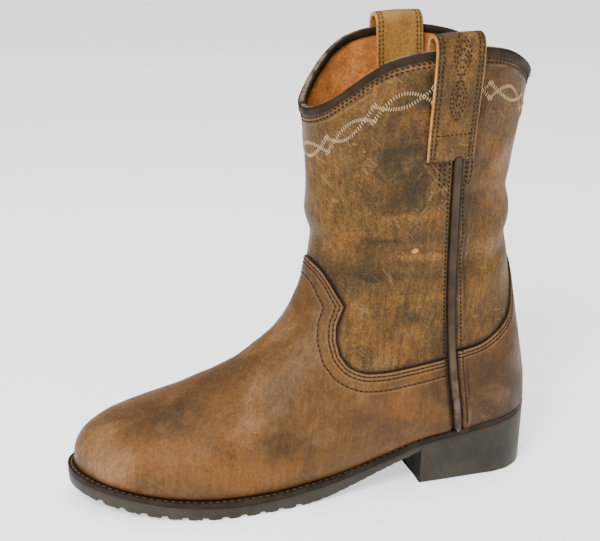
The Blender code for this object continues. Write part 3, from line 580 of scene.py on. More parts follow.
class Form:
    """Points of the upper's outer form, shared between its patches."""

    def __init__(self):
        self.points = []
        self.numbers = {}
        self.patches = {}
        sides = {-1: {}, 1: {}}
        for name, grid in (("counter", counter_patch()), ("vamp", vamp_patch()), ("shaft", shaft_patch())):
            middle, half = form(grid[..., 0], grid[..., 1])
            if name != "vamp":
                half[:, 0] = 0
            if name != "counter":
                half[FRONT_COLUMNS - 1 if name == "shaft" else 0:, -1] = 0
            for side, rows in sides.items():
                at = np.stack([middle + side * half, grid[..., 0], grid[..., 1]], -1)
                rows[name] = np.array([[self.number(point) for point in row] for row in at])
        for name in ("counter", "vamp"):
            for side in sides:
                self.patches[name, side] = quads(sides[side][name])
        for side, rows in sides.items():
            strip = np.stack([rows["counter"][:, -1], rows["vamp"][:, 0]], 1)
            self.patches["shaft", side] = quads(rows["shaft"]) + quads(strip)
        self.points = np.array(self.points)
        self.sides = sides
        self.edge = self.ring([np.append(rows["counter"][0], rows["vamp"][0]) for rows in sides.values()])
        self.collar = self.ring([rows["shaft"][-1] for rows in sides.values()])
        self.below_collar = self.ring([rows["shaft"][-2] for rows in sides.values()])
        self.out = self.normals()

    def number(self, point):
        key = tuple(round(value / WELD) for value in point)
        if key not in self.numbers:
            self.numbers[key] = len(self.points)
            self.points.append(point)
        return self.numbers[key]

    def ring(self, halves):
        """Lateral half back to front, then medial half front to back."""
        return np.concatenate([halves[0], halves[1][-2:0:-1]])

    def faces(self, *names):
        """Faces that look out of the boot."""
        found = []
        for (name, side), faces in self.patches.items():
            if name in names:
                found += faces if side > 0 else [face[::-1] for face in faces]
        return found

    def normals(self):
        out = np.zeros_like(self.points)
        for face in self.faces("counter", "vamp", "shaft"):
            a, b, c, d = (self.points[k] for k in face)
            out[list(face)] += np.cross(c - a, d - b)
        out[self.edge, 2] = 0
        return out / np.linalg.norm(out, axis=1, keepdims=True)


def quads(numbers):
    """Faces of a grid of point numbers."""
    rows, columns = numbers.shape
    return [(int(numbers[r, c]), int(numbers[r, c + 1]), int(numbers[r + 1, c + 1]), int(numbers[r + 1, c]))
            for r in range(rows - 1) for c in range(columns - 1)]

# The sole's plan


def overhang(y):
    share = read(OVERHANG, (y - FORM_BACK) / FORM_LENGTH)
    return WELT_BACK + (WELT_TOE - WELT_BACK) * np.clip(share, 0, 1)


def grown(ring, reach, welted):
    """Closed plan ring grown by reach, and by the welt's overhang where welted."""
    step = np.roll(ring, -1, 0) - np.roll(ring, 1, 0)
    out = np.stack([-step[:, 1], step[:, 0]], 1) / np.linalg.norm(step, axis=1, keepdims=True)
    grow = overhang(ring[:, 1]) * welted + reach
    return ring + out * grow[:, None]


def sole_ring(reach_out, welted):
    """Closed plan ring of the grown outline: the lateral side to the front, the medial side back."""
    line = form_y(round_shares(CURVE_SAMPLES))
    middle, half = outline(line)
    half = half * back_round(line, feather(line))
    half[[0, -1]] = 0
    ring = np.concatenate([np.stack([middle - half, line], 1), np.stack([middle + half, line], 1)[-2:0:-1]])
    return grown(ring, reach_out, welted)


def edges(y, reach_out, welted):
    """Lateral and medial x of the grown outline at each y."""
    ring = sole_ring(reach_out, welted)
    lateral = ring[:CURVE_SAMPLES]
    medial = np.concatenate([ring[:1], ring[:CURVE_SAMPLES - 2:-1]])
    return np.interp(y, lateral[:, 1], lateral[:, 0]), np.interp(y, medial[:, 1], medial[:, 0])


def plan_ring(reach_out, welted, count=560):
    """The grown outline as evenly spaced points."""
    ring = sole_ring(reach_out, welted)
    return along_path(np.vstack([ring, ring[:1]]), np.linspace(0, 1, count + 1)[:-1])


def strap_path(rim):
    """Strap's middle line: distance out from the upper's outer face, and height."""
    lift = 2 * GAP + STRAP_THICKNESS / 2
    low = BOOT_HEIGHT - STRAP_DROP
    z = np.linspace(low, rim, STRAP_RISE_ROWS)
    away = ease((z - low) / (rim - low))
    outer = lift + away * STRAP_STAND
    inner = -WALL - lift - away * STRAP_STAND_INSIDE
    centre = (outer[-1] + inner[-1]) / 2
    half = (outer[-1] - inner[-1]) / 2
    turn = np.linspace(0, np.pi, STRAP_ARCH_ROWS)[1:-1]
    arch = STRAP_RISE - STRAP_THICKNESS / 2
    over = np.stack([centre + half * np.cos(turn), rim + arch * np.sin(turn) ** STRAP_POWER], 1)
    return np.concatenate([np.stack([outer, z], 1), over, np.stack([inner, z], 1)[::-1]])


def sole_top(y):
    return feather(y) - 2 * GAP - WELT_THICKNESS


def underside(y):
    """Height of the tread, with the shank's rise to the heel's top."""
    breast = sole_top(HEEL_LENGTH) - SHANK_THICKNESS
    share = y / SOLE_LENGTH
    shank = read(UNDERSIDE, share)
    spring = read(UNDERSIDE, share, 2)
    seat = sole_top(y) - SHANK_THICKNESS
    front = np.clip(breast * shank, 0, None) + TOE_SPRING * np.clip(spring, 0, None)
    return np.where(y < HEEL_LENGTH, seat, np.minimum(front, seat))


# Fine meshes


class Sheet:
    """Collects points, faces and point values of one mesh."""

    def __init__(self):
        self.points = []
        self.faces = []
        self.values = {}
        self.materials = []

    def add(self, grid, **values):
        grid = np.asarray(grid, float)
        start = len(self.points)
        self.points.extend(grid.reshape(-1, 3).tolist())
        for name in set(self.values) | set(values):
            kept = self.values.setdefault(name, [0.0] * start)
            given = np.broadcast_to(values.get(name, 0.0), grid.shape[:-1])
            kept.extend(given.reshape(-1).tolist())
        return np.arange(start, len(self.points)).reshape(grid.shape[:-1])

    def join(self, numbers, closed=False, flip=False, material=0):
        """Quads over a grid of point numbers; closed joins its last column to the first."""
        if closed:
            numbers = np.concatenate([numbers, numbers[:, :1]], 1)
        a, b = numbers[:-1, :-1], numbers[:-1, 1:]
        c, d = numbers[1:, 1:], numbers[1:, :-1]
        corners = (a, d, c, b) if flip else (a, b, c, d)
        faces = np.stack(corners, -1).reshape(-1, 4).tolist()
        self.faces.extend(faces)
        self.materials.extend([material] * len(faces))

    def take(self, faces):
        """Faces given as point numbers."""
        self.faces = [list(face) for face in faces]
        self.materials = [0] * len(faces)

    def make(self, name, looks, slot, nodes=()):
        mesh = bpy.data.meshes.new(name)
        points = np.array(self.points) - (0, HEEL_MIDDLE, 0)
        mesh.from_pydata(points.tolist(), [], self.faces)
        mesh.polygons.foreach_set("use_smooth", [True] * len(mesh.polygons))
        mesh.polygons.foreach_set("material_index", self.materials)
        for key, values in self.values.items():
            mesh.attributes.new(key, "FLOAT", "POINT").data.foreach_set("value", values)
        for look in looks:
            mesh.materials.append(LOOKS[look])
        piece = bpy.data.objects.new(name, mesh)
        bpy.context.collection.objects.link(piece)
        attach(piece, "root")
        if nodes:
            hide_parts(*nodes)
        return piece


def reach(points, line):
    """Distance from points to a polyline."""
    flat = points.reshape(-1, points.shape[-1])
    run = line[1:] - line[:-1]
    size = np.maximum((run * run).sum(1), WELD ** 2)
    found = []
    for start in range(0, len(flat), 2000):
        away = flat[start:start + 2000, None] - line[None, :-1]
        share = np.clip((away * run).sum(-1) / size, 0, 1)
        found.append(np.linalg.norm(away - share[..., None] * run, axis=-1).min(1))
    return np.concatenate(found).reshape(points.shape[:-1])


def unit(vectors):
    return vectors / np.maximum(np.linalg.norm(vectors, axis=-1, keepdims=True), WELD)


def column_lengths(grid):
    """Length down each column of a grid, at its rows."""
    steps = np.linalg.norm(np.diff(grid[..., :3], axis=0), axis=-1)
    return np.concatenate([np.zeros((1, grid.shape[1])), np.cumsum(steps, 0)])


def resampled(grid, shares):
    """Grid with each column sampled again at shares of its length."""
    lengths = column_lengths(grid)
    new = np.empty((len(shares),) + grid.shape[1:])
    for c in range(grid.shape[1]):
        at = shares * lengths[-1, c]
        for k in range(grid.shape[2]):
            new[:, c, k] = np.interp(at, lengths[:, c], grid[:, c, k])
    return new


def level_line(grid, field, level):
    """Points of each column where a field first rises through a level."""
    line = []
    for c in range(grid.shape[1]):
        over = np.nonzero(field[:, c] >= level)[0]
        if len(over) and over[0] > 0:
            k = over[0]
            t = (level - field[k - 1, c]) / (field[k, c] - field[k - 1, c])
            line.append(grid[k - 1, c] + t * (grid[k, c] - grid[k - 1, c]))
    return np.array(line)


def both_sides(last, name):
    """Point numbers of a patch on both sides in one grid."""
    lateral, medial = last.sides[-1][name], last.sides[1][name]
    if name == "vamp":
        return np.concatenate([lateral, medial[:, -2::-1]], 1)
    return np.concatenate([lateral[:, ::-1], medial[:, 1:]], 1)


# Creases: soft troughs and ridges. Each runs through three side-view points given as shares of the
# sole's length and of the boot's height. width in metres; rise: height in metres, below zero for a trough;
# side: -1 lateral, 1 medial, 0 both.
CREASES = (
    # along1, up1, along2, up2, along3, up3, width, rise, side
    (0.47, 0.47, 0.44, 0.415, 0.395, 0.385, 0.0042, -0.0005, 0),
    (0.505, 0.43, 0.47, 0.375, 0.42, 0.35, 0.005, 0.0004, 0),
    (0.56, 0.36, 0.52, 0.3, 0.47, 0.275, 0.004, -0.0004, 0),
    (0.6, 0.33, 0.56, 0.265, 0.515, 0.235, 0.0045, 0.0003, 0),
    (0.64, 0.3, 0.61, 0.235, 0.575, 0.195, 0.0035, -0.0003, 0),
    (0.69, 0.275, 0.67, 0.21, 0.64, 0.165, 0.005, -0.0003, 0),
    (0.48, 0.58, 0.4, 0.545, 0.3, 0.56, 0.007, -0.0016, 0),
    (0.48, 0.625, 0.4, 0.6, 0.32, 0.61, 0.008, 0.0013, 0),
    (0.44, 0.5, 0.38, 0.47, 0.3, 0.48, 0.006, -0.0014, 0),
    (0.07, 0.56, 0.12, 0.52, 0.185, 0.53, 0.007, -0.0017, 0),
    (0.06, 0.62, 0.12, 0.59, 0.19, 0.6, 0.008, 0.0013, 0),
    (0.05, 0.68, 0.11, 0.67, 0.185, 0.69, 0.007, -0.0013, -1),
    (0.48, 0.76, 0.4, 0.72, 0.3, 0.74, 0.01, -0.0009, -1),
    (0.28, 0.82, 0.32, 0.74, 0.35, 0.64, 0.008, 0.0007, -1),
    (0.46, 0.7, 0.38, 0.66, 0.29, 0.68, 0.009, -0.0008, 1),
    (0.11, 0.8, 0.13, 0.72, 0.14, 0.62, 0.007, 0.0006, 0),
)


def crease_relief(points):
    """Height of the creases at points of the form."""
    flat = points[..., 1:]
    relief = np.zeros(points.shape[:-1])
    for row in CREASES:
        ends = np.array(row[:6]).reshape(3, 2) * (SOLE_LENGTH, BOOT_HEIGHT)
        t = np.linspace(0, 1, 24)[:, None]
        line = (1 - t) ** 2 * ends[0] + 2 * t * (1 - t) * (2 * ends[1] - (ends[0] + ends[2]) / 2) + t * t * ends[2]
        width, rise, side = row[6:]
        near = np.abs(flat - line.mean(0)).max(-1) < np.ptp(line, axis=0).max() / 2 + 4 * width
        if side:
            near &= points[..., 0] * side > 0
        if near.any():
            away = reach(flat[near], line)
            relief[near] += rise * hill(away, width)
    return relief


def ripple(points, size, seed):
    """Smooth irregular waves of about that size, between -1 and 1."""
    rng = np.random.default_rng(seed)
    total = np.zeros(points.shape[:-1])
    for _ in range(7):
        way = rng.normal(size=3)
        way *= rng.uniform(0.6, 1.5) * 2 * np.pi / size / np.linalg.norm(way)
        total += np.sin(points @ way + rng.uniform(0, 2 * np.pi))
    return total / 4


# Colour zones: place as shares of the sole's length and the boot's height, half sizes likewise, then how far
# the leather leans to dark, warm or pale there; side: -1 lateral, 1 medial, 0 both. Most zones are the leather's
# own mottling, but some are painted light: the pale and warm zones at the toe are a painted highlight, the broad
# dark zones low on the counter are painted shade, and the thin lateral bands on the shaft are painted highlights
# and shades of its folds. The tiny pale spot at the toe tip is a scuff.
ZONES = (
    # along, up, wide, high, dark, warm, pale, side
    (0.32, 0.76, 0.09, 0.1, 1.5, 0, 0, 0), (0.29, 0.85, 0.04, 0.07, 0.9, 0, 0, 0),
    (0.38, 0.5, 0.06, 0.045, 0.8, 0, 0, 0), (0.33, 0.4, 0.05, 0.05, 0.6, 0, 0, -1),
    (0.17, 0.88, 0.1, 0.05, 0.5, 0, 0, 0), (0.46, 0.79, 0.025, 0.1, 0, 0.9, 0.2, 0),
    (0.44, 0.57, 0.04, 0.06, 0, 1, 0, 0), (0.26, 0.6, 0.03, 0.05, 0, 0.9, 0, -1),
    (0.1, 0.6, 0.09, 0.2, 0, 0.8, 0, 0), (0.42, 0.43, 0.04, 0.04, 0, 0.8, 0, 0),
    (0.36, 0.3, 0.05, 0.05, 0, 0, 1, 0), (0.3, 0.35, 0.05, 0.03, 0, 0.5, 0.3, -1),
    (0.12, 0.72, 0.07, 0.025, 0, 0.4, 0.6, 0), (0.14, 0.45, 0.07, 0.03, 0, 0.3, 0.5, 0),
    (0.65, 0.22, 0.06, 0.06, 0, 0.3, 0.35, 0), (0.52, 0.32, 0.06, 0.07, 0, 0.5, 0.6, 0),
    (0.93, 0.12, 0.04, 0.05, -0.8, 0.8, 2.2, 0), (0.975, 0.13, 0.006, 0.008, 0, 0, 3, -1),
    (0.82, 0.14, 0.1, 0.04, -0.7, 1.6, 0.3, 0), (0.64, 0.09, 0.12, 0.028, -0.4, 1.2, 0, 0),
    (0.45, 0.25, 0.03, 0.05, 0, 0.7, 0, 0), (0.79, 0.205, 0.08, 0.022, 0.6, 0, 0, 0),
    (0.86, 0.085, 0.07, 0.018, 0.4, 0, 0, 0), (0.56, 0.165, 0.06, 0.05, 0.7, 0, 0, 0),
    (0.36, 0.14, 0.08, 0.05, 0.6, 0.2, 0, 0), (0.12, 0.16, 0.1, 0.08, 1.3, 0, 0, 0),
    (0.08, 0.2, 0.03, 0.03, 0.4, 0, 0.4, 0), (0.11, 0.3, 0.09, 0.09, 1, 0, -0.8, 0),
    (0.1, 0.8, 0.08, 0.09, 0.6, 0.8, 0, 0), (0.03, 0.28, 0.04, 0.06, 0, 0.8, 0, 0),
    (0.33, 0.64, 0.08, 0.012, 0, 1.2, 0.5, -1), (0.3, 0.545, 0.07, 0.009, 0, 1.3, 0.6, -1),
    (0.39, 0.6, 0.05, 0.008, 0, 0.9, 0.7, -1), (0.33, 0.59, 0.07, 0.012, 1.1, 0, 0, -1),
    (0.34, 0.5, 0.06, 0.012, 1, 0, 0, -1), (0.29, 0.45, 0.06, 0.009, 0, 1.1, 0.5, -1),
    (0.13, 0.56, 0.05, 0.01, 0, 0.9, 0.7, -1), (0.13, 0.52, 0.05, 0.01, 0.8, 0, 0, -1),
    (0.12, 0.655, 0.05, 0.01, 0, 0.9, 0.5, -1),
)


def zone_values(points):
    """How far each point leans to dark, warm and pale."""
    found = {"dark": 0.0, "warm": 0.0, "pale": 0.0}
    share, climb = points[..., 1] / SOLE_LENGTH, points[..., 2] / BOOT_HEIGHT
    for along, up, wide, high, dark, warm, pale, side in ZONES:
        near = np.exp(-(((share - along) / wide) ** 2 + ((climb - up) / high) ** 2))
        if side:
            near = near * (points[..., 0] * side > 0)
        for key, lean in (("dark", dark), ("warm", warm), ("pale", pale)):
            found[key] = found[key] + lean * near
    return found


# Stitch rows: distances from the edges they follow
PANEL_ROWS = (0.0022, 0.0046, 0.0113)
COUNTER_ROWS = (0.0022, 0.0044)
COLLAR_ROWS = (0.0058, 0.0080)
STRAP_ROWS = (0.0019, 0.0042)
TAB_ROWS = (0.0048, 0.0082)
PIPING_ROW = 0.0018
REAR_ROW = 0.0034
ROW_WIDTH = 0.00055
# Lower end of the rows below a strap, and width of the strip that runs behind the piping
TAB_LOW = 0.198
STRIP_WIDTH = 0.0056
# Threads
STITCH_PITCH = 0.0032
STITCH_LENGTH = 0.0020
STITCH_THICK = 0.0010
STRAP_PITCH = 0.0028
# Rolled edge of a cut panel, and the offset of the painted highlight along the crest of the roll
ROLL = 0.0012
RIM = 0.0011
PANEL_STEPS = 110
OVERLAP_ROWS = 9


def rolled(away):
    """Height of a cut and rolled edge, from nothing at the edge to one."""
    return np.sqrt(np.clip(1 - (1 - np.clip(away / ROLL, 0, 1)) ** 2, 0, 1))


def groove(away, rows):
    return sum(hill(away - row, ROW_WIDTH) for row in rows)


def rear_strip(points):
    """The strip behind the piping: its rise, the painted shade at its edge and the painted highlight on its rim, and
    where it is.
    """
    beside = piping_y(points[..., 2]) - points[..., 1] - PIPING_WIDTH / 2 - BESIDE_GAP
    past, rear = beside - STRIP_WIDTH, beside > 0
    rise = 0.0006 * (1 - ease((past + 0.0004) / 0.0006)) * rear
    return rise, 0.8 * rear * hill(past - 0.0002, 0.0005), 0.5 * rear * hill(past + 0.0006, 0.0005), rear


def panel(last, name, rows, flip, seams):
    """Overlay panel with rolled edges, sunk stitch rows and creases."""
    numbers = both_sides(last, name)
    grid = np.concatenate([last.points[numbers], last.out[numbers]], -1)[::-1]
    share = np.linspace(0, 1, PANEL_STEPS)
    grid = resampled(grid, 0.12 * share + 0.88 * share ** 1.9)
    points, out = grid[..., :3], unit(grid[..., 3:])
    seam, low = reach(points, points[0]), reach(points, points[-1])
    side = np.minimum(reach(points, points[:, 0]), reach(points, points[:, -1]))
    border = np.minimum(seam, side)
    sewn = groove(seam, rows)
    beside = groove(side, (REAR_ROW if name == "counter" else PIPING_ROW,))
    relief = crease_relief(points) * ease(np.minimum(seam, low) / 0.006) * ease(np.abs(points[..., 0]) / 0.016)
    relief += 0.00035 * ripple(points, 0.035, 3) * ease(low / 0.01)
    relief += 0.0003 * hill(seam - 0.0082, 0.0022) * (len(rows) > 2)
    relief -= 0.00028 * sewn + 0.0002 * beside
    rise, dark, rim, _ = rear_strip(points)
    relief += rise
    skin = points + ((GAP + OVERLAY) * rolled(border) + relief)[..., None] * out
    # painted shade: dark in the gap at the panel's cut edge, along the bottom where the upper meets the welt, and at
    # the rear strip's step
    edge = np.maximum(np.maximum(hill(border, 0.00045), 0.8 * hill(low, 0.0022)), dark)
    # painted highlight along the crest of the rolled edge, beside the stitch rows and on the rear strip's rim
    bright = 0.8 * hill(seam - RIM, 0.0006) + 0.45 * groove(seam - RIM, rows) + rim
    sheet = Sheet()
    # row: painted shade in the sunk stitch rows
    sheet.join(sheet.add(skin, edge=edge, row=0.5 * sewn + 0.5 * beside, bright=bright, **zone_values(points)),
               flip=flip)
    seams.extend(level_line(skin, seam, row) for row in rows)
    return sheet


def rim_line(last):
    return last.points[np.append(last.collar, last.collar[0])]


def shaft_sheet(last):
    """Shaft's outside, with the leather that runs on under the overlays and along the piping."""
    borders = [last.points[last.sides[side][name][-1]] for name in ("vamp", "counter") for side in (-1, 1)]
    faces = []
    for side, rows in last.sides.items():
        strip = np.stack([rows["counter"][:, -1], rows["vamp"][:, 0]], 1)
        for grid in (rows["shaft"], strip, rows["counter"][-OVERLAP_ROWS:], rows["vamp"][-OVERLAP_ROWS:]):
            faces += [face[::side] for face in quads(grid)]
    used = np.array(sorted({k for face in faces for k in face}))
    new = {int(k): number for number, k in enumerate(used)}
    at, normal = last.points[used], last.out[used]
    seam = np.min([reach(at, line) for line in borders], 0)
    rim = reach(at, rim_line(last))
    middle = piping_y(at[:, 2])
    beside = np.abs(np.abs(at[:, 1] - middle) - PIPING_WIDTH / 2 - BESIDE_GAP)
    collar = groove(rim, COLLAR_ROWS)
    relief = crease_relief(at) * ease(rim / 0.03) * ease(beside / 0.006)
    relief += 0.00055 * ripple(at, 0.05, 5) * ease(rim / 0.02) * ease(beside / 0.008)
    relief += 0.0005 * hill(beside - 0.0016, 0.0014)
    rise, dark, bright, rear = rear_strip(at)
    rows = np.where(rear, groove(beside, (REAR_ROW,)), groove(beside, (PIPING_ROW,)))
    relief -= 0.00025 * rows + 0.00025 * collar
    relief += rise
    relief *= ease(seam / 0.004)
    # painted shade: dark gaps at the overlays' edges and beside the piping, and the rear strip's step
    edge = np.maximum(np.maximum(1.4 * hill(seam, 0.0016), hill(beside, 0.0008)), dark)
    # painted shadow of the binding: a dark line just under its lower edge
    edge = np.maximum(edge, 0.7 * hill(rim - BINDING_DEPTH, 0.0008))
    # painted highlights beside the collar rows, on the ridge beside the piping and on the rear strip's rim
    bright = 0.5 * groove(rim - RIM, COLLAR_ROWS) + 0.4 * hill(beside - 0.0012, 0.0005) + bright
    # painted highlight along the front ridge of the shaft
    bright += 0.5 * hill(at[:, 0], 0.0028) * (at[:, 1] > middle)
    sheet = Sheet()
    # row: painted shade in the sunk stitch rows
    sheet.add(at + relief[:, None] * normal, edge=np.minimum(edge, 1), bright=np.minimum(bright, 1),
              row=0.5 * collar + 0.5 * rows, **zone_values(at))
    sheet.take([[new[k] for k in face] for face in faces])
    return sheet


def lining_sheet(last):
    """Inside of the upper."""
    rim = reach(last.points, rim_line(last))
    deep = WALL + 0.0003 * ripple(last.points, 0.03, 8) * ease(rim / 0.02)
    sheet = Sheet()
    sheet.add(last.points - deep[:, None] * last.out, edge=np.exp(-rim / 0.004))
    sheet.take([face[::-1] for face in last.faces("counter", "vamp", "shaft")])
    return sheet


def binding_sheet(last):
    """Folded strip over the rim, with a rounded fold."""
    outer = last.points[last.collar]
    out = last.out[last.collar]
    down = unit(last.points[last.below_collar] - outer)
    up = np.array([0, 0, 1.0])
    middle = outer - WALL / 2 * out
    half = WALL / 2 + GAP + BINDING
    profile = [(half - 0.0009, BINDING_DEPTH), (half, BINDING_DEPTH - 0.0006), (half, 0.0008)]
    for turn in np.linspace(0, np.pi, 9):
        profile.append((half * np.cos(turn), -(GAP + BINDING) * 0.9 * np.sin(turn)))
    profile += [(-half, 0.0008), (-half, BINDING_DEPTH - 0.0006), (-half + 0.0009, BINDING_DEPTH)]
    wave = 1 + 0.05 * ripple(outer, 0.012, 2)[:, None]
    rows, worn = [], []
    for across, drop in profile:
        rows.append(middle + across * wave * out + (drop * down if drop > 0 else -drop * up))
        # the top of the fold gets a light line: wear and a painted highlight
        worn.append(np.full(len(outer), 0.6 if drop < -0.00105 else 0.0))
    sheet = Sheet()
    sheet.join(sheet.add(np.stack(rows), worn=np.stack(worn)), closed=True, flip=True)
    return sheet


def piping_line(last, side):
    """Middle of the strip between counter and vamp, and its outward direction."""
    rows = last.sides[side]
    rear = np.append(rows["counter"][:, -1], rows["shaft"][1:, COUNTER_COLUMNS - 1])
    front = np.append(rows["vamp"][:, 0], rows["shaft"][1:, COUNTER_COLUMNS])
    return (last.points[rear] + last.points[front]) / 2, unit(last.out[rear] + last.out[front])


STRAP_ROUND = 0.0006
STRAP_STEPS = 90
PIPING_END = 0.003
PIPING_COLUMNS = 13
NOTCH_RISE = 0.0030


def piping_sheet(last, side):
    """Side piping with a rounded upper end that reaches into the strap's notch."""
    line, lift = piping_line(last, side)
    top = BOOT_HEIGHT - STRAP_DROP + NOTCH_RISE - GAP
    length = lengths_of(line)
    end = np.interp(top, line[:, 2], length)
    start = end - PIPING_END
    at = np.concatenate([np.linspace(0, start, 150), end - PIPING_END * (1 - np.linspace(0, 1, 9)[1:] ** 0.5)])
    line, lift = sample(at, length, line), unit(sample(at, length, lift))
    across = unit(np.cross(lift, np.gradient(line, axis=0)))
    taper = np.sqrt(np.clip(1 - np.clip((at - end + PIPING_END) / PIPING_END, 0, 1) ** 2, 0.0004, 1))
    rows = []
    for turn in np.linspace(-0.08, np.pi + 0.08, PIPING_COLUMNS):
        wide = PIPING_WIDTH / 2 * np.cos(turn) * taper * (1 + 0.03 * ripple(line, 0.03, 4))
        rise = GAP + PIPING_HEIGHT * np.sign(np.sin(turn)) * np.abs(np.sin(turn)) ** PIPING_POWER * taper ** 0.5
        rows.append(line + wide[:, None] * across + rise[:, None] * lift)
    sheet = Sheet()
    grid = np.stack(rows, 1)
    turn = np.linspace(0, 1, PIPING_COLUMNS)
    # the bead's sides are painted dark as shade where it meets the leather, and its crown gets a painted highlight,
    # stronger low down
    border = np.broadcast_to((2 * np.abs(turn - 0.5)) ** 3, grid.shape[:-1])
    painted_highlight = np.broadcast_to(1 - ease((line[:, 2:] - 0.050) / 0.060), grid.shape[:-1])
    sheet.join(sheet.add(grid, edge=border, worn=0.55 * painted_highlight * (1 - border)), flip=True)
    return sheet


def strap_sheet(side):
    """Pull strap with rounded raw edges, a notch over the piping and sunk stitch rows."""
    half = STRAP_WIDTH / 2
    notch = PIPING_WIDTH / 2 + STRAP_ROUND
    across = np.concatenate([
        np.linspace(-half + STRAP_ROUND, -notch - 0.0002, 12),
        notch * np.sin(np.linspace(-np.pi / 2, np.pi / 2, 9)),
        np.linspace(notch + 0.0002, half - STRAP_ROUND, 12),
    ])
    low = BOOT_HEIGHT - STRAP_DROP
    middle_notch = float(piping_y(low)) - STRAP_PLACE
    faces = []
    for sign in (1, -1):
        columns = []
        for shift in across:
            y = STRAP_PLACE + shift
            rim = float(collar_z(collar_share(y)))
            path = resampled(strap_path(rim)[:, None], np.linspace(0, 1, STRAP_STEPS))[:, 0]
            if abs(shift - middle_notch) < notch:
                foot = low + NOTCH_RISE * np.sqrt(1 - ((shift - middle_notch) / notch) ** 2)
                first = path[:, 1] < foot
                first[STRAP_STEPS // 2:] = False
                path[first, 1] = foot
            run = np.gradient(path, axis=0)
            run[np.abs(run).sum(1) < WELD] = (0, 1)
            face = path + sign * STRAP_THICKNESS / 2 * unit(np.stack([run[:, 1], -run[:, 0]], 1))
            place_y = np.full(STRAP_STEPS, y)
            middle, wide = form(place_y, np.minimum(face[:, 1], rim))
            columns.append(np.stack([middle + side * (wide + face[:, 0]), place_y, face[:, 1]], 1))
        faces.append(np.stack(columns, 1))
    outer, inner = faces
    thick = unit(outer - inner)
    core, radius, way = (outer + inner) / 2, STRAP_THICKNESS / 2, np.array([0, 1.0, 0])
    rounded = []
    for column, sign in ((-1, 1), (0, -1)):
        rounded.append(np.stack([
            core[:, column] + sign * radius * (
                STRAP_ROUND / radius * np.cos(turn) * way - np.sin(turn) * thick[:, column])
            for turn in np.linspace(-np.pi / 2, np.pi / 2, 7)[1:-1]], 1))
    from_edge = half - np.abs(across)
    dip = sum(hill(from_edge - row, 0.0006) for row in STRAP_ROWS)
    outer = outer - 0.00022 * dip[None, :, None] * thick
    loop = np.concatenate([outer, rounded[0], inner[:, ::-1], rounded[1]], 1)
    count = len(across)
    # painted shade in the sunk stitch rows and a painted highlight along the edges of the outer face
    shade, bright = np.zeros((2,) + loop.shape[:2])
    shade[:, :count] = 0.5 * dip
    bright[:, :count] = 0.5 * hill(from_edge - 0.0008, 0.0005)
    sheet = Sheet()
    numbers = sheet.add(loop, row=shade, bright=bright)
    numbers = np.concatenate([numbers, numbers[:, :1]], 1)
    # outer face, front edge, inner face and rear edge; past the top the outer face shows its raw side
    spans = (0, count - 1, count + 5, 2 * count + 4, 2 * count + 10)
    top = int(np.argmax(outer[:, count // 2, 2]))
    for start, end, near, far in zip(spans[:-1], spans[1:], (0, 1, 2, 1), (2, 1, 2, 1)):
        sheet.join(numbers[:top + 1, start:end + 1], flip=side < 0, material=near)
        sheet.join(numbers[top:, start:end + 1], flip=side < 0, material=far)
    for row in (numbers[0], numbers[-1]):
        sheet.join(np.stack([row[:count], row[2 * count + 4:count + 4:-1]]))
    return sheet, outer, thick, across


def surface_point(outer, thick, across, share, shift):
    """Point and outward direction on the strap at a share of its length and a shift across it."""
    row = share * (len(outer) - 1)
    k = np.clip(row.astype(int), 0, len(outer) - 2)
    t = (row - k)[:, None]
    col = np.interp(shift, across, np.arange(len(across)))
    c = np.clip(col.astype(int), 0, len(across) - 2)
    u = (col - c)[:, None]
    found = []
    for grid in (outer, thick):
        found.append((1 - t) * ((1 - u) * grid[k, c] + u * grid[k, c + 1])
                     + t * ((1 - u) * grid[k + 1, c] + u * grid[k + 1, c + 1]))
    return found[0], unit(found[1])


# Stitches

# Rings of a thread: shares of its half length, its radius and its rise
THREAD_RINGS = ((-1.0, 0.30, -0.9), (-0.72, 0.85, -0.1), (0.0, 1.0, 0.25), (0.72, 0.85, -0.1), (1.0, 0.30, -0.9))
THREAD_SIDES = 5


def add_threads(sheet, centres, ways, ups, length, thick):
    """Short threads, their ends sunk in the leather."""
    across = unit(np.cross(ups, ways))
    length = np.broadcast_to(length, len(centres))
    turn = np.arange(THREAD_SIDES) * 2 * np.pi / THREAD_SIDES
    rings = []
    for along, wide, rise in THREAD_RINGS:
        centre = centres + (length / 2 * along)[:, None] * ways + rise * thick / 2 * ups
        round_ = (np.cos(turn)[None, :, None] * across[:, None] + np.sin(turn)[None, :, None] * ups[:, None])
        rings.append(centre[:, None] + wide * thick / 2 * round_)
    for block in sheet.add(np.stack(rings, 1)):
        sheet.join(block, closed=True)


def marks(line, pitch):
    """Evenly spaced places on a polyline with their directions."""
    length = lengths_of(line[:, :3])
    count = max(1, int(length[-1] / pitch))
    at = (np.arange(count) + 0.5) * length[-1] / count
    ways = sample(at + pitch / 4, length, line) - sample(at - pitch / 4, length, line)
    return sample(at, length, line), unit(ways)


def laid(tree, points):
    """Points and outward directions on the leather nearest to some points."""
    found = [tree.find_nearest(Vector(point)) for point in points]
    return np.array([f[0] for f in found]), np.array([f[1] for f in found])


def flattened(ways, ups):
    return unit(ways - (ways * ups).sum(1)[:, None] * ups)


def sew(sheet, tree, line, pitch=STITCH_PITCH):
    """A row of stitches along a line, laid on the leather."""
    centres, ways = marks(line, pitch)
    centres, ups = laid(tree, centres)
    add_threads(sheet, centres + 0.00005 * ups, flattened(ways, ups), ups, STITCH_LENGTH, STITCH_THICK)


# Welt, sole and heel

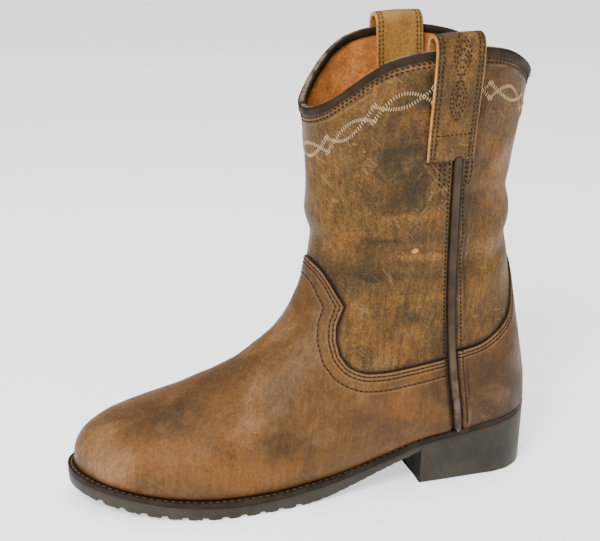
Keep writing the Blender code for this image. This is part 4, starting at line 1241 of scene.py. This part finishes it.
# Welt's ledge, groove and lip: share of the way out, and height over the edge of the upper
WELT_PROFILE = (
    (0, -0.0004), (0.40, -0.0004), (0.52, -0.0004), (0.58, -0.0010), (0.66, -0.0010), (0.72, -0.0003),
    (0.86, -0.0002), (0.95, -0.0005), (0.99, -0.0011), (1, -0.0020), (1, -WELT_THICKNESS - GAP),
)
SOLE_COUNT = 900
LIP = 0.0030
EDGE_ROUND = 0.0011
EDGE_CUT = 0.55
DEEP_CUT = 0.8


def welt_sheet():
    """Welt's upper ledge with a stitched groove and rounded lip."""
    inner, base, outer = plan_ring(-WALL, False), plan_ring(0, False), plan_ring(0, True)
    rows, dark = [], []
    for share, drop in WELT_PROFILE:
        ring = base + (outer - base) * share if share else inner
        rows.append(np.column_stack([ring, feather(ring[:, 1]) + drop]))
        # painted shade in the stitch groove and where the welt meets the upper
        dark.append(np.full(len(ring), float(0.55 < share < 0.7 or share < 0.1)))
    sheet = Sheet()
    sheet.join(sheet.add(np.stack(rows), edge=np.stack(dark)), closed=True)
    return sheet, base, outer


def lug_cut(y, share):
    """Depth of a groove across the tread, between none and one."""
    away = np.abs(y - share * SOLE_LENGTH) / (GROOVE_SHARE / 2 * SOLE_LENGTH + LUG_SLOPE)
    return 1 - ease((away - 0.7) / 0.5)


def sole_depth(y):
    """Height of the tread's lower edge, rough as moulded and worn lugs are."""
    rough = 0.00028 * np.sin(y * 2 * np.pi / 0.0062 + 1.3) + 0.00022 * np.sin(y * 2 * np.pi / 0.0037 + 0.4)
    lugs = np.max([lug_cut(y, share) for share in FOREPART_GROOVES], 0)
    return underside(y) + np.clip(rough, 0, None) + lugs * LUG_DEPTH * EDGE_CUT


def make_wall(sheet, ring, out, bottom, taper):
    """Side wall, rounded at its upper lip and lower edge, along an open run of the outline."""
    top = sole_top(ring[:, 1]) + GAP
    low = top - LIP
    profile = [(0.0016, top), (0.0007, top - 0.0001), (0.00015, top - 0.0006), (0, top - 0.0014), (0, low)]
    for share in np.linspace(0.15, 1, 7):
        profile.append((taper * share, low + (bottom + EDGE_ROUND - top + LIP) * share))
    for turn in np.array((0.35, 0.75, 1.0)) * np.pi / 2:
        profile.append((taper + EDGE_ROUND * (1 - np.cos(turn)), bottom + EDGE_ROUND * (1 - np.sin(turn))))
    profile.append((taper + 0.0060, bottom))
    grid = np.stack([np.column_stack([ring - out * inset, z]) for inset, z in profile])
    sheet.join(sheet.add(grid))
    return grid


def sole_sheet():
    """Outsole and heel as one rubber body."""
    sheet = Sheet()
    ring = plan_ring(-0.0001, True, SOLE_COUNT)
    step = np.roll(ring, -1, 0) - np.roll(ring, 1, 0)
    out = unit(np.stack([-step[:, 1], step[:, 0]], 1))
    off = np.abs(ring[:, 1] - HEEL_LENGTH)
    start = int(np.argmin(off[:SOLE_COUNT // 3]))
    end = SOLE_COUNT - int(np.argmin(off[::-1][:SOLE_COUNT // 3])) - 1
    ring[start, 1] = ring[end, 1] = HEEL_LENGTH
    fore = np.arange(start, end + 1)
    rear = np.append(np.arange(end, SOLE_COUNT), np.arange(start + 1))
    make_wall(sheet, ring[fore], out[fore], sole_depth(ring[fore, 1]), 0.0004)
    y = ring[rear, 1]
    rough = 0.00025 * np.clip(np.sin(y * 2 * np.pi / 0.011) + np.sin(y * 2 * np.pi / 0.0047), 0, None)
    heel = make_wall(sheet, ring[rear], out[rear], rough * (y < 0.03), 3 * SIDE_STEP * 0.75)
    # breast of the heel, between its two corners, painted dark as shadow
    left, right = heel[:, -1], heel[:, 0]
    t = np.linspace(0, 1, 24)[None, :, None]
    face = left[:, None] + (right - left)[:, None] * t
    face[..., 1] = HEEL_LENGTH - 0.0012 * np.sin(np.pi * t[..., 0])
    sheet.join(sheet.add(face, under=1.0), flip=True, material=1)
    # tread under the forepart, with a channel along it, and under the heel, painted darker as shade
    shares = np.concatenate([np.linspace(0, 0.44, 8), CHANNEL, np.linspace(0.56, 1, 8)])
    deep = np.abs(shares - 0.5) < 0.042
    for low, high, count in ((HEEL_LENGTH, SOLE_LENGTH - 0.0015, 330), (0.0018, HEEL_LENGTH - 0.0005, 90)):
        y = np.linspace(low, high, count)
        a, b = edges(y, -0.0030, True)
        x = a[:, None] + np.maximum(b - a, 0.0002)[:, None] * shares
        if low == HEEL_LENGTH:
            z = sole_depth(y)[:, None]
            lugs = (y > SOLE_LENGTH * FOREPART_GROOVES[0]) & (y < SOLE_LENGTH * FOREPART_GROOVES[-1])
            z = np.where(lugs[:, None] & deep, np.maximum(z, underside(y)[:, None] + DEEP_CUT * LUG_DEPTH), z)
        else:
            z = sum(lug_cut(y, share) for share in HEEL_GROOVES)[:, None] * LUG_DEPTH * DEEP_CUT
        grid = np.stack(np.broadcast_arrays(x, y[:, None], z + 0.00003), -1)
        sheet.join(sheet.add(grid, under=0.6), material=1)
    return sheet


# Materials


class Graph:
    """Short way to write shader nodes."""

    def __init__(self, name):
        self.material = bpy.data.materials.new(name)
        self.material.use_nodes = True
        self.tree = self.material.node_tree
        self.shader = self.tree.nodes["Principled BSDF"]
        self.place = self.node("TexCoord").outputs["Object"]

    def node(self, kind, **inputs):
        made = self.tree.nodes.new("ShaderNode" + kind)
        for key, value in inputs.items():
            self.put(made, key, value)
        return made

    def put(self, made, key, value):
        numbered = key[0] == "i" and key[1:].isdigit()
        socket = made.inputs[int(key[1:]) if numbered else key.replace("_", " ")]
        if isinstance(value, bpy.types.NodeSocket):
            self.tree.links.new(value, socket)
        else:
            socket.default_value = value

    def noise(self, scale, detail=3.0, rough=0.5, distortion=0.0, at=None):
        return self.node("TexNoise", Vector=at or self.place, Scale=scale, Detail=detail, Roughness=rough,
                         Distortion=distortion).outputs["Fac"]

    def stretched(self, turn, scale):
        made = self.node("Mapping", Vector=self.place, Rotation=turn, Scale=tuple(1 / s for s in scale))
        made.vector_type = "TEXTURE"
        return made.outputs["Vector"]

    def cells(self, scale):
        made = self.node("TexVoronoi", Vector=self.place, Scale=scale)
        made.feature = "SMOOTH_F1"
        return made.outputs["Distance"]

    def span(self, value, low, high, to_low=0.0, to_high=1.0):
        made = self.node("MapRange", Value=value)
        made.interpolation_type = "SMOOTHSTEP"
        for key, number in zip(("From Min", "From Max", "To Min", "To Max"), (low, high, to_low, to_high)):
            made.inputs[key].default_value = number
        return made.outputs["Result"]

    def math(self, kind, a, b=0.0):
        made = self.node("Math", i0=a, i1=b)
        made.operation = kind
        return made.outputs[0]

    def mix(self, share, a, b, kind="MIX"):
        made = self.tree.nodes.new("ShaderNodeMix")
        made.data_type = "RGBA"
        made.blend_type = kind
        for socket, value in ((made.inputs["Factor"], share), (made.inputs[6], a), (made.inputs[7], b)):
            if isinstance(value, bpy.types.NodeSocket):
                self.tree.links.new(value, socket)
            else:
                socket.default_value = value if isinstance(value, float) else (*value, 1)
        return made.outputs[2]

    def toned(self, colour, tone):
        grey = self.node("CombineColor", Red=tone, Green=tone, Blue=tone)
        return self.mix(1.0, colour, grey.outputs[0], "MULTIPLY")

    def value(self, name):
        made = self.node("Attribute")
        made.attribute_name = name
        return made.outputs["Fac"]

    def finish(self, colour, roughness, height=None, distance=0.0002, strength=1.0, **sockets):
        self.put(self.shader, "Base_Color", colour if isinstance(colour, bpy.types.NodeSocket) else (*colour, 1))
        self.put(self.shader, "Roughness", roughness)
        if height is not None:
            bump = self.node("Bump", Height=height, Distance=distance, Strength=strength)
            self.put(self.shader, "Normal", bump.outputs["Normal"])
        for key, value in sockets.items():
            self.put(self.shader, key, value)
        return self.material


def scaled(colour, by):
    return tuple(c * by for c in colour)


def leather(name, dark, mid, warm, pale, worn=0.5, fleck=1.0):
    """Waxed leather: zoned and mottled, finely grained and scratched, with painted shade at edges, gaps and stitch
    rows, painted highlights along ridges and rims, and some zones that paint light.
    """
    g = Graph(name)
    broad = g.math("SUBTRACT", g.noise(15, 3, 0.5, 0.5), g.math("MULTIPLY", g.value("dark"), 0.24))
    orange = g.math("ADD", g.noise(20, 3, 0.55, 0.5, g.stretched((0.4, 0.2, 0.7), (1, 1, 1.4))),
                    g.math("MULTIPLY", g.value("warm"), 0.20))
    light = g.math("ADD", g.noise(24, 4, 0.6, 0.4, g.stretched((1.1, 0.5, 0.2), (1.2, 1, 1))),
                   g.math("MULTIPLY", g.value("pale"), 0.20))
    colour = g.mix(g.span(broad, 0.22, 0.56), dark, mid)
    colour = g.mix(g.math("MULTIPLY", g.span(orange, 0.46, 0.80), 0.9), colour, warm)
    colour = g.mix(g.math("MULTIPLY", g.span(light, 0.52, 0.84), 0.85), colour, pale)
    streak = g.noise(1.0, 3, 0.65, 0.3, g.stretched((0.12, 0.1, 0.0), (380, 380, 48)))
    tone = g.span(g.noise(70, 5, 0.72, 0.4), 0.25, 0.75, 1 - 0.12 * fleck, 1 + 0.12 * fleck)
    for low, high, by, field in ((0.28, 0.72, 0.20, g.noise(420, 5, 0.7)), (0.3, 0.7, 0.26, g.noise(1000, 3, 0.6)),
                                 (0.3, 0.7, 0.20, streak)):
        tone = g.math("MULTIPLY", tone, g.span(field, low, high, 1 - by * fleck, 1 + by * fleck))
    colour = g.toned(colour, tone)
    # fine scratches in four directions
    lines = None
    for turn, scale, low in (((0.3, 0.0, 0.9), (120, 900, 60), 0.63), ((0.7, 0.4, 0.0), (70, 60, 1000), 0.63),
                             ((0.2, 0.6, 0.5), (900, 90, 120), 0.64), ((-0.6, 0.2, 0.3), (500, 500, 34), 0.66)):
        line = g.span(g.noise(1.0, 2, 0.5, 0.4, g.stretched(turn, scale)), low, low + 0.05)
        lines = line if lines is None else g.math("MAXIMUM", lines, line)
    where = g.span(g.noise(30, 2), 0.46, 0.68)
    colour = g.mix(g.math("MULTIPLY", g.math("MULTIPLY", lines, where), worn), colour, pale)
    # painted highlight: the bright marks along ridges, rims and rows, broken up by noise
    painted_highlight = g.math("MULTIPLY", g.value("bright"), g.span(g.noise(240, 3, 0.6), 0.3, 0.6, 0.3, 1.0))
    colour = g.mix(painted_highlight, colour, scaled(pale, 1.15))
    # painted shade at cut edges, gaps and sunk stitch rows
    shade = g.math("MAXIMUM", g.math("MULTIPLY", g.value("edge"), 0.93), g.value("row"))
    colour = g.mix(shade, colour, scaled(dark, 0.10))
    grain = g.math("ADD", g.math("MULTIPLY", g.cells(1150), 0.5), g.math("MULTIPLY", g.noise(700, 4, 0.6), 0.8))
    height = g.math("ADD", grain, g.math("MULTIPLY", g.noise(150, 3, 0.55, 0.6), 1.6))
    height = g.math("SUBTRACT", height, g.math("MULTIPLY", lines, 0.3))
    rough = g.span(g.noise(60, 4, 0.6), 0.3, 0.7, 0.42, 0.60)
    return g.finish(colour, rough, height, 0.00025, 0.9, Specular_IOR_Level=0.17)


def smooth_leather(name, dark, light, rough, lifted=None, gloss=0.12):
    g = Graph(name)
    colour = g.mix(g.span(g.noise(60, 4, 0.6, 0.3), 0.35, 0.65), dark, light)
    # wear and a painted highlight along the binding's fold, and a painted highlight on the piping's crown
    if lifted:
        worn = g.math("MULTIPLY", g.value("worn"), g.span(g.noise(120, 3), 0.35, 0.62))
        colour = g.mix(worn, colour, lifted)
    # painted shade along the piping's sides and in the welt's groove
    colour = g.mix(g.math("MULTIPLY", g.value("edge"), 0.9), colour, scaled(dark, 0.12))
    height = g.math("ADD", g.noise(800, 4, 0.6), g.math("MULTIPLY", g.noise(160, 3), 0.6))
    return g.finish(colour, g.span(g.noise(90, 3), 0.3, 0.7, rough - 0.06, rough + 0.1), height, 0.00015, 0.7,
                    Specular_IOR_Level=gloss)


def suede(name, dark, light, grain=520):
    """Raw leather with a short nap."""
    g = Graph(name)
    colour = g.mix(g.span(g.noise(34, 4, 0.65, 0.5), 0.3, 0.7), dark, light)
    fleck = g.noise(grain, 6, 0.75, 0.2)
    tone = g.math("MULTIPLY", g.span(fleck, 0.3, 0.7, 0.62, 1.34), g.span(g.noise(120, 4, 0.6), 0.3, 0.7, 0.86, 1.14))
    colour = g.toned(colour, tone)
    colour = g.mix(g.math("MULTIPLY", g.value("edge"), 0.55), colour, scaled(dark, 0.3))
    return g.finish(colour, 0.85, g.math("ADD", fleck, g.noise(1400, 3)), 0.0003, 0.8,
                    Specular_IOR_Level=0.15)


def rubber(name, dark, light, gloss=0.18):
    g = Graph(name)
    colour = g.mix(g.span(g.noise(28, 4, 0.6), 0.3, 0.7), dark, light)
    dust = g.math("MULTIPLY", g.span(g.noise(140, 5, 0.7), 0.52, 0.75), 0.35)
    colour = g.mix(dust, colour, scaled(light, 1.6))
    # painted shade on the heel's breast and under the tread
    colour = g.mix(g.math("MULTIPLY", g.value("under"), 0.97), colour, scaled(dark, 0.1))
    height = g.math("ADD", g.noise(1300, 3, 0.6), g.math("MULTIPLY", g.noise(120, 4), 0.5))
    return g.finish(colour, g.span(g.noise(50, 3), 0.3, 0.7, 0.42, 0.56), height, 0.00012, 0.5,
                    Specular_IOR_Level=gloss)


def thread(name, dark, light):
    g = Graph(name)
    colour = g.mix(g.noise(700, 2), dark, light)
    twist = g.node("TexWave", Vector=g.stretched((0.6, 0.5, 0.3), (1, 1, 1)), Scale=900.0).outputs["Fac"]
    return g.finish(colour, 0.7, twist, 0.0001, 0.5, Specular_IOR_Level=0.15)


LOOKS = {
    "shaft": leather("shaft_leather_look", (0.028, 0.0155, 0.0040), (0.070, 0.0345, 0.0070), (0.130, 0.055, 0.0095),
                     (0.190, 0.102, 0.034), worn=0.8, fleck=1.4),
    "vamp": leather("vamp_leather_look", (0.040, 0.0190, 0.0055), (0.084, 0.0375, 0.0095), (0.140, 0.056, 0.0110),
                    (0.190, 0.096, 0.041), worn=0.3, fleck=0.75),
    "lining": suede("lining_look", (0.360, 0.118, 0.024), (0.580, 0.225, 0.055)),
    "raw": suede("raw_edge_look", (0.310, 0.130, 0.032), (0.520, 0.245, 0.070), 900),
    "strap_back": leather("strap_back_look", (0.170, 0.085, 0.0150), (0.260, 0.130, 0.0260), (0.300, 0.140, 0.0330),
                          (0.400, 0.240, 0.090), worn=0.3, fleck=0.8),
    "binding": smooth_leather("binding_look", (0.010, 0.006, 0.0022), (0.025, 0.015, 0.0060), 0.55,
                              (0.30, 0.21, 0.13)),
    "piping": smooth_leather("piping_look", (0.024, 0.0135, 0.0056), (0.046, 0.0265, 0.0118), 0.45,
                             (0.160, 0.104, 0.074), 0.16),
    "welt": smooth_leather("welt_look", (0.010, 0.006, 0.0035), (0.026, 0.017, 0.0100), 0.55),
    "sole": rubber("sole_rubber_look", (0.019, 0.0150, 0.0100), (0.036, 0.0295, 0.0205)),
    # painted shadow: a darker copy of the sole rubber for the heel's breast and the tread
    "sole_shade": rubber("sole_shade_look", (0.009, 0.0072, 0.0048), (0.020, 0.0162, 0.0112), 0.02),
    "dark_thread": thread("dark_thread_look", (0.006, 0.003, 0.0015), (0.020, 0.010, 0.0050)),
    "cream_thread": thread("cream_thread_look", (0.220, 0.150, 0.075), (0.470, 0.350, 0.205)),
    "welt_thread": thread("welt_thread_look", (0.120, 0.064, 0.026), (0.230, 0.130, 0.058)),
    "insole": suede("insole_look", (0.300, 0.100, 0.022), (0.440, 0.170, 0.045)),
}

# Assembly
SIDES = ((-1, "lateral"), (1, "medial"))
last = Form()
seams = []
vamp = panel(last, "vamp", PANEL_ROWS, True, seams)
counter = panel(last, "counter", COUNTER_ROWS, False, seams)
shaft = shaft_sheet(last)
welt, welt_base, welt_outer = welt_sheet()
for sheet, name, looks, slot, nodes in (
    (vamp, "vamp_panel", ["vamp"], "vamp_leather", ["vamp"]),
    (counter, "counter_panel", ["vamp"], "vamp_leather", ["counter"]),
    (shaft, "shaft_panel", ["shaft"], "shaft_leather", ["upper"]),
    (lining_sheet(last), "lining", ["lining"], "insole_leather", ["upper"]),
    (binding_sheet(last), "binding_strip", ["binding"], "binding_leather", ["top_binding"]),
    (sole_sheet(), "rubber_sole", ["sole", "sole_shade"], "sole_rubber", ["outsole", "heel"]),
    (welt, "welt_strip", ["welt"], "welt_leather", ["welt"]),
):
    sheet.make(name, looks, slot, nodes)

# the leather that the stitches lie on
points, faces = [], []
for sheet in (vamp, counter, shaft):
    faces += [[k + len(points) for k in face] for face in sheet.faces]
    points += sheet.points
ground = BVHTree.FromPolygons(points, faces)

stitches = Sheet()
for line in seams:
    sew(stitches, ground, line)

# rows beside the piping, from the welt to the pull strap, and the strap's rows that run on below it,
# closed by a short row on each side
TAB_COUNT = 20
TOP = BOOT_HEIGHT - STRAP_DROP + 0.001
for side, word in SIDES:
    piping_sheet(last, side).make("piping_bead_" + word, ["piping"], "piping_leather", ["side_piping_" + word])
    z = np.linspace(SEAT_HEIGHT - 0.008, TOP, 120)
    runs = [(z, beside(z, 1) + PIPING_ROW), (z, beside(z, -1) - REAR_ROW)]
    z = np.linspace(TAB_LOW, TOP, TAB_COUNT)
    for way in (-1, 1):
        near, far = (piping_y(z) + way * (PIPING_WIDTH / 2 + BESIDE_GAP + row) for row in TAB_ROWS)
        runs += [(z, near), (z, far), (np.full(TAB_COUNT, TAB_LOW), np.linspace(near[0], far[0], TAB_COUNT))]
    for z, y in runs:
        keep = z > feather(y) + 0.003
        middle, half = form(y[keep], z[keep])
        sew(stitches, ground, np.stack([middle + side * (half + 0.0028), y[keep], z[keep]], 1), STRAP_PITCH)

# rows under the binding
shaft_grid = np.concatenate([last.sides[-1]["shaft"], last.sides[1]["shaft"][:, -2:0:-1]], 1)
upper_part = shaft_grid[FRONT_COLUMNS:][::-1]
field = np.concatenate([last.points[upper_part], last.points[upper_part[:, :1]]], 1)
drop = column_lengths(field)
for level in COLLAR_ROWS:
    sew(stitches, ground, level_line(field, drop, level))
stitches.make("dark_stitching", ["dark_thread"], "shaft_leather")

# Cream cord pattern: two strands that part into a lens and a sharp lozenge, over and over round the shaft
CORD_DROP = 0.0250
CORD_LENS = 0.0260
CORD_GAP = 0.0130
CORD_RISE = 0.0042
CORD_WIDTH = 0.0027
CORD_PITCH = 0.00165
CORD_THICK = 0.00085
LOZENGE_LONG = 0.66
LOZENGE_HIGH = 1.38
cord_base = level_line(field, drop, CORD_DROP)
cord_below = level_line(field, drop, CORD_DROP + 0.004)
cord_length = lengths_of(cord_base)


def on_cord(along, rise):
    """Point on the shaft at a way along the cord's middle line and a rise above it."""
    at = np.clip(along, 0, cord_length[-1])
    down = sample(at, cord_length, cord_below - cord_base)
    return sample(at, cord_length, cord_base) - unit(down) * rise[:, None]


cord = Sheet()
repeats = round(cord_length[-1] / (CORD_LENS + CORD_GAP))
period = cord_length[-1] / repeats
scale = period / (CORD_LENS + CORD_GAP)
t = np.linspace(0, 1, 60)
for number in range(repeats):
    start = number * period
    gap = start + scale * CORD_LENS
    for sign in (-1, 1):
        high = sign * CORD_RISE * LOZENGE_HIGH * t
        for along, rise in (
            (start + scale * CORD_LENS * t, sign * CORD_RISE * np.sin(np.pi * t)),
            (gap + scale * CORD_GAP * LOZENGE_LONG * t, high),
            (gap + scale * CORD_GAP * (1 - LOZENGE_LONG * t), high),
        ):
            centres, ways = marks(np.stack([along, rise], 1), CORD_PITCH)
            tips = centres + 0.001 * np.stack([-ways[:, 1], ways[:, 0]], 1)
            middle, ups = laid(ground, on_cord(centres[:, 0], centres[:, 1]))
            thread_way = flattened(unit(on_cord(tips[:, 0], tips[:, 1]) - middle), ups)
            add_threads(cord, middle + 0.00012 * ups, thread_way, ups, CORD_WIDTH, CORD_THICK)
cord.make("cream_cord_stitching", ["cream_thread"], "shaft_leather")

# Pull straps: edge rows, a row across, and a figure of two nested lenses joined by a cross
STRAP_BOX = 0.0165
LENSES = (0.235, 0.405)
LENS_LONG = 0.1615
LENS_WIDE = 0.0052
CROSS = 0.320
half = STRAP_WIDTH / 2
for side, word in SIDES:
    sheet, outer, thick, across = strap_sheet(side)
    sheet.make("strap_" + word, ["shaft", "raw", "strap_back"], "shaft_leather", ["pull_strap_" + word])
    t = np.linspace(0.004, 0.996, 160)
    runs = [(t, np.full(len(t), sign * (half - shift))) for shift in STRAP_ROWS for sign in (-1, 1)]
    box = STRAP_BOX / lengths_of(outer[:, 5])[-1]
    runs.append((np.full(30, box), np.linspace(-half + STRAP_ROWS[1], half - STRAP_ROWS[1], 30)))
    s = np.linspace(0, 1, 40)
    runs += [(centre + LENS_LONG * size * (s - 0.5), sign * LENS_WIDE * size * np.sin(np.pi * s))
             for centre in LENSES for size in (1.0, 0.66, 0.33) for sign in (-1, 1)]
    s = np.linspace(-1, 1, 20)
    runs += [(CROSS + 0.022 * s, sign * 0.0030 * s) for sign in (-1, 1)]
    sewing = Sheet()
    for shares, shifts in runs:
        line, up = surface_point(outer, thick, across, shares, shifts)
        centres, ways = marks(np.concatenate([line, up], 1), STRAP_PITCH)
        add_threads(sewing, centres[:, :3], unit(ways[:, :3]), unit(centres[:, 3:]), 0.0018, 0.0008)
    sewing.make("strap_stitching_" + word, ["dark_thread"], "shaft_leather")

# Welt stitches, in front of the heel
welt_sewing = Sheet()
ring = welt_base + 0.62 * (welt_outer - welt_base)
ring = ring[ring[:, 1] > HEEL_LENGTH - 0.004]
centres, ways = marks(np.column_stack([ring, feather(ring[:, 1]) - 0.0009]), 0.0045)
add_threads(welt_sewing, centres + (0, 0, 0.0001), ways, np.tile([0, 0, 1.0], (len(centres), 1)), 0.0031, 0.0011)
welt_sewing.make("welt_stitching", ["welt_thread"], "welt_leather")

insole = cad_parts["insole"]
insole.data.materials.clear()
insole.data.materials.append(LOOKS["insole"])

# Floor, light and camera
bpy.ops.mesh.primitive_plane_add(size=8, location=(0, 0, 0))
floor = bpy.context.object
floor.name = "floor"
plain = Graph("floor_look")
floor.data.materials.append(plain.finish((1.0, 1.0, 1.0), 0.9, Emission_Color=(1, 1, 1, 1), Emission_Strength=0.95))
floor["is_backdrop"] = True


def put(name, data, spot, aim):
    """Links a lamp or camera that looks from a place at a point."""
    made = bpy.data.objects.new(name, data)
    made.location = spot
    made.rotation_euler = (Vector(aim) - Vector(spot)).to_track_quat("-Z", "Y").to_euler()
    bpy.context.collection.objects.link(made)
    return made


CENTRE = (0, 0.105, 0.14)
for name, spot, size, power in (
    ("key", (-1.1, 0.9, 1.3), 0.8, 44),
    ("fill", (-1.3, -0.9, 0.7), 1.4, 4),
    ("top", (0.3, 0.1, 1.7), 1.3, 14),
):
    data = bpy.data.lights.new(name, "AREA")
    data.shape = "DISK"
    data.size = size
    data.energy = power
    put(name, data, spot, CENTRE)
world = bpy.data.worlds.new("studio")
world.use_nodes = True
world.node_tree.nodes["Background"].inputs["Color"].default_value = (1, 1, 1, 1)
world.node_tree.nodes["Background"].inputs["Strength"].default_value = 0.62
bpy.context.scene.world = world

AZIMUTH = np.radians(15.5)
RISE = np.radians(17.2)
DISTANCE = 0.9
away = np.array([-np.cos(AZIMUTH) * np.cos(RISE), np.sin(AZIMUTH) * np.cos(RISE), np.sin(RISE)])
camera_data = bpy.data.cameras.new("camera")
camera_data.lens = 86.5
camera_data.sensor_width = 36
eye = np.array([0, 0.113, 0.140]) + away * DISTANCE
bpy.context.scene.camera = put("camera", camera_data, eye, (0, 0.111, 0.1385))

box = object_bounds()
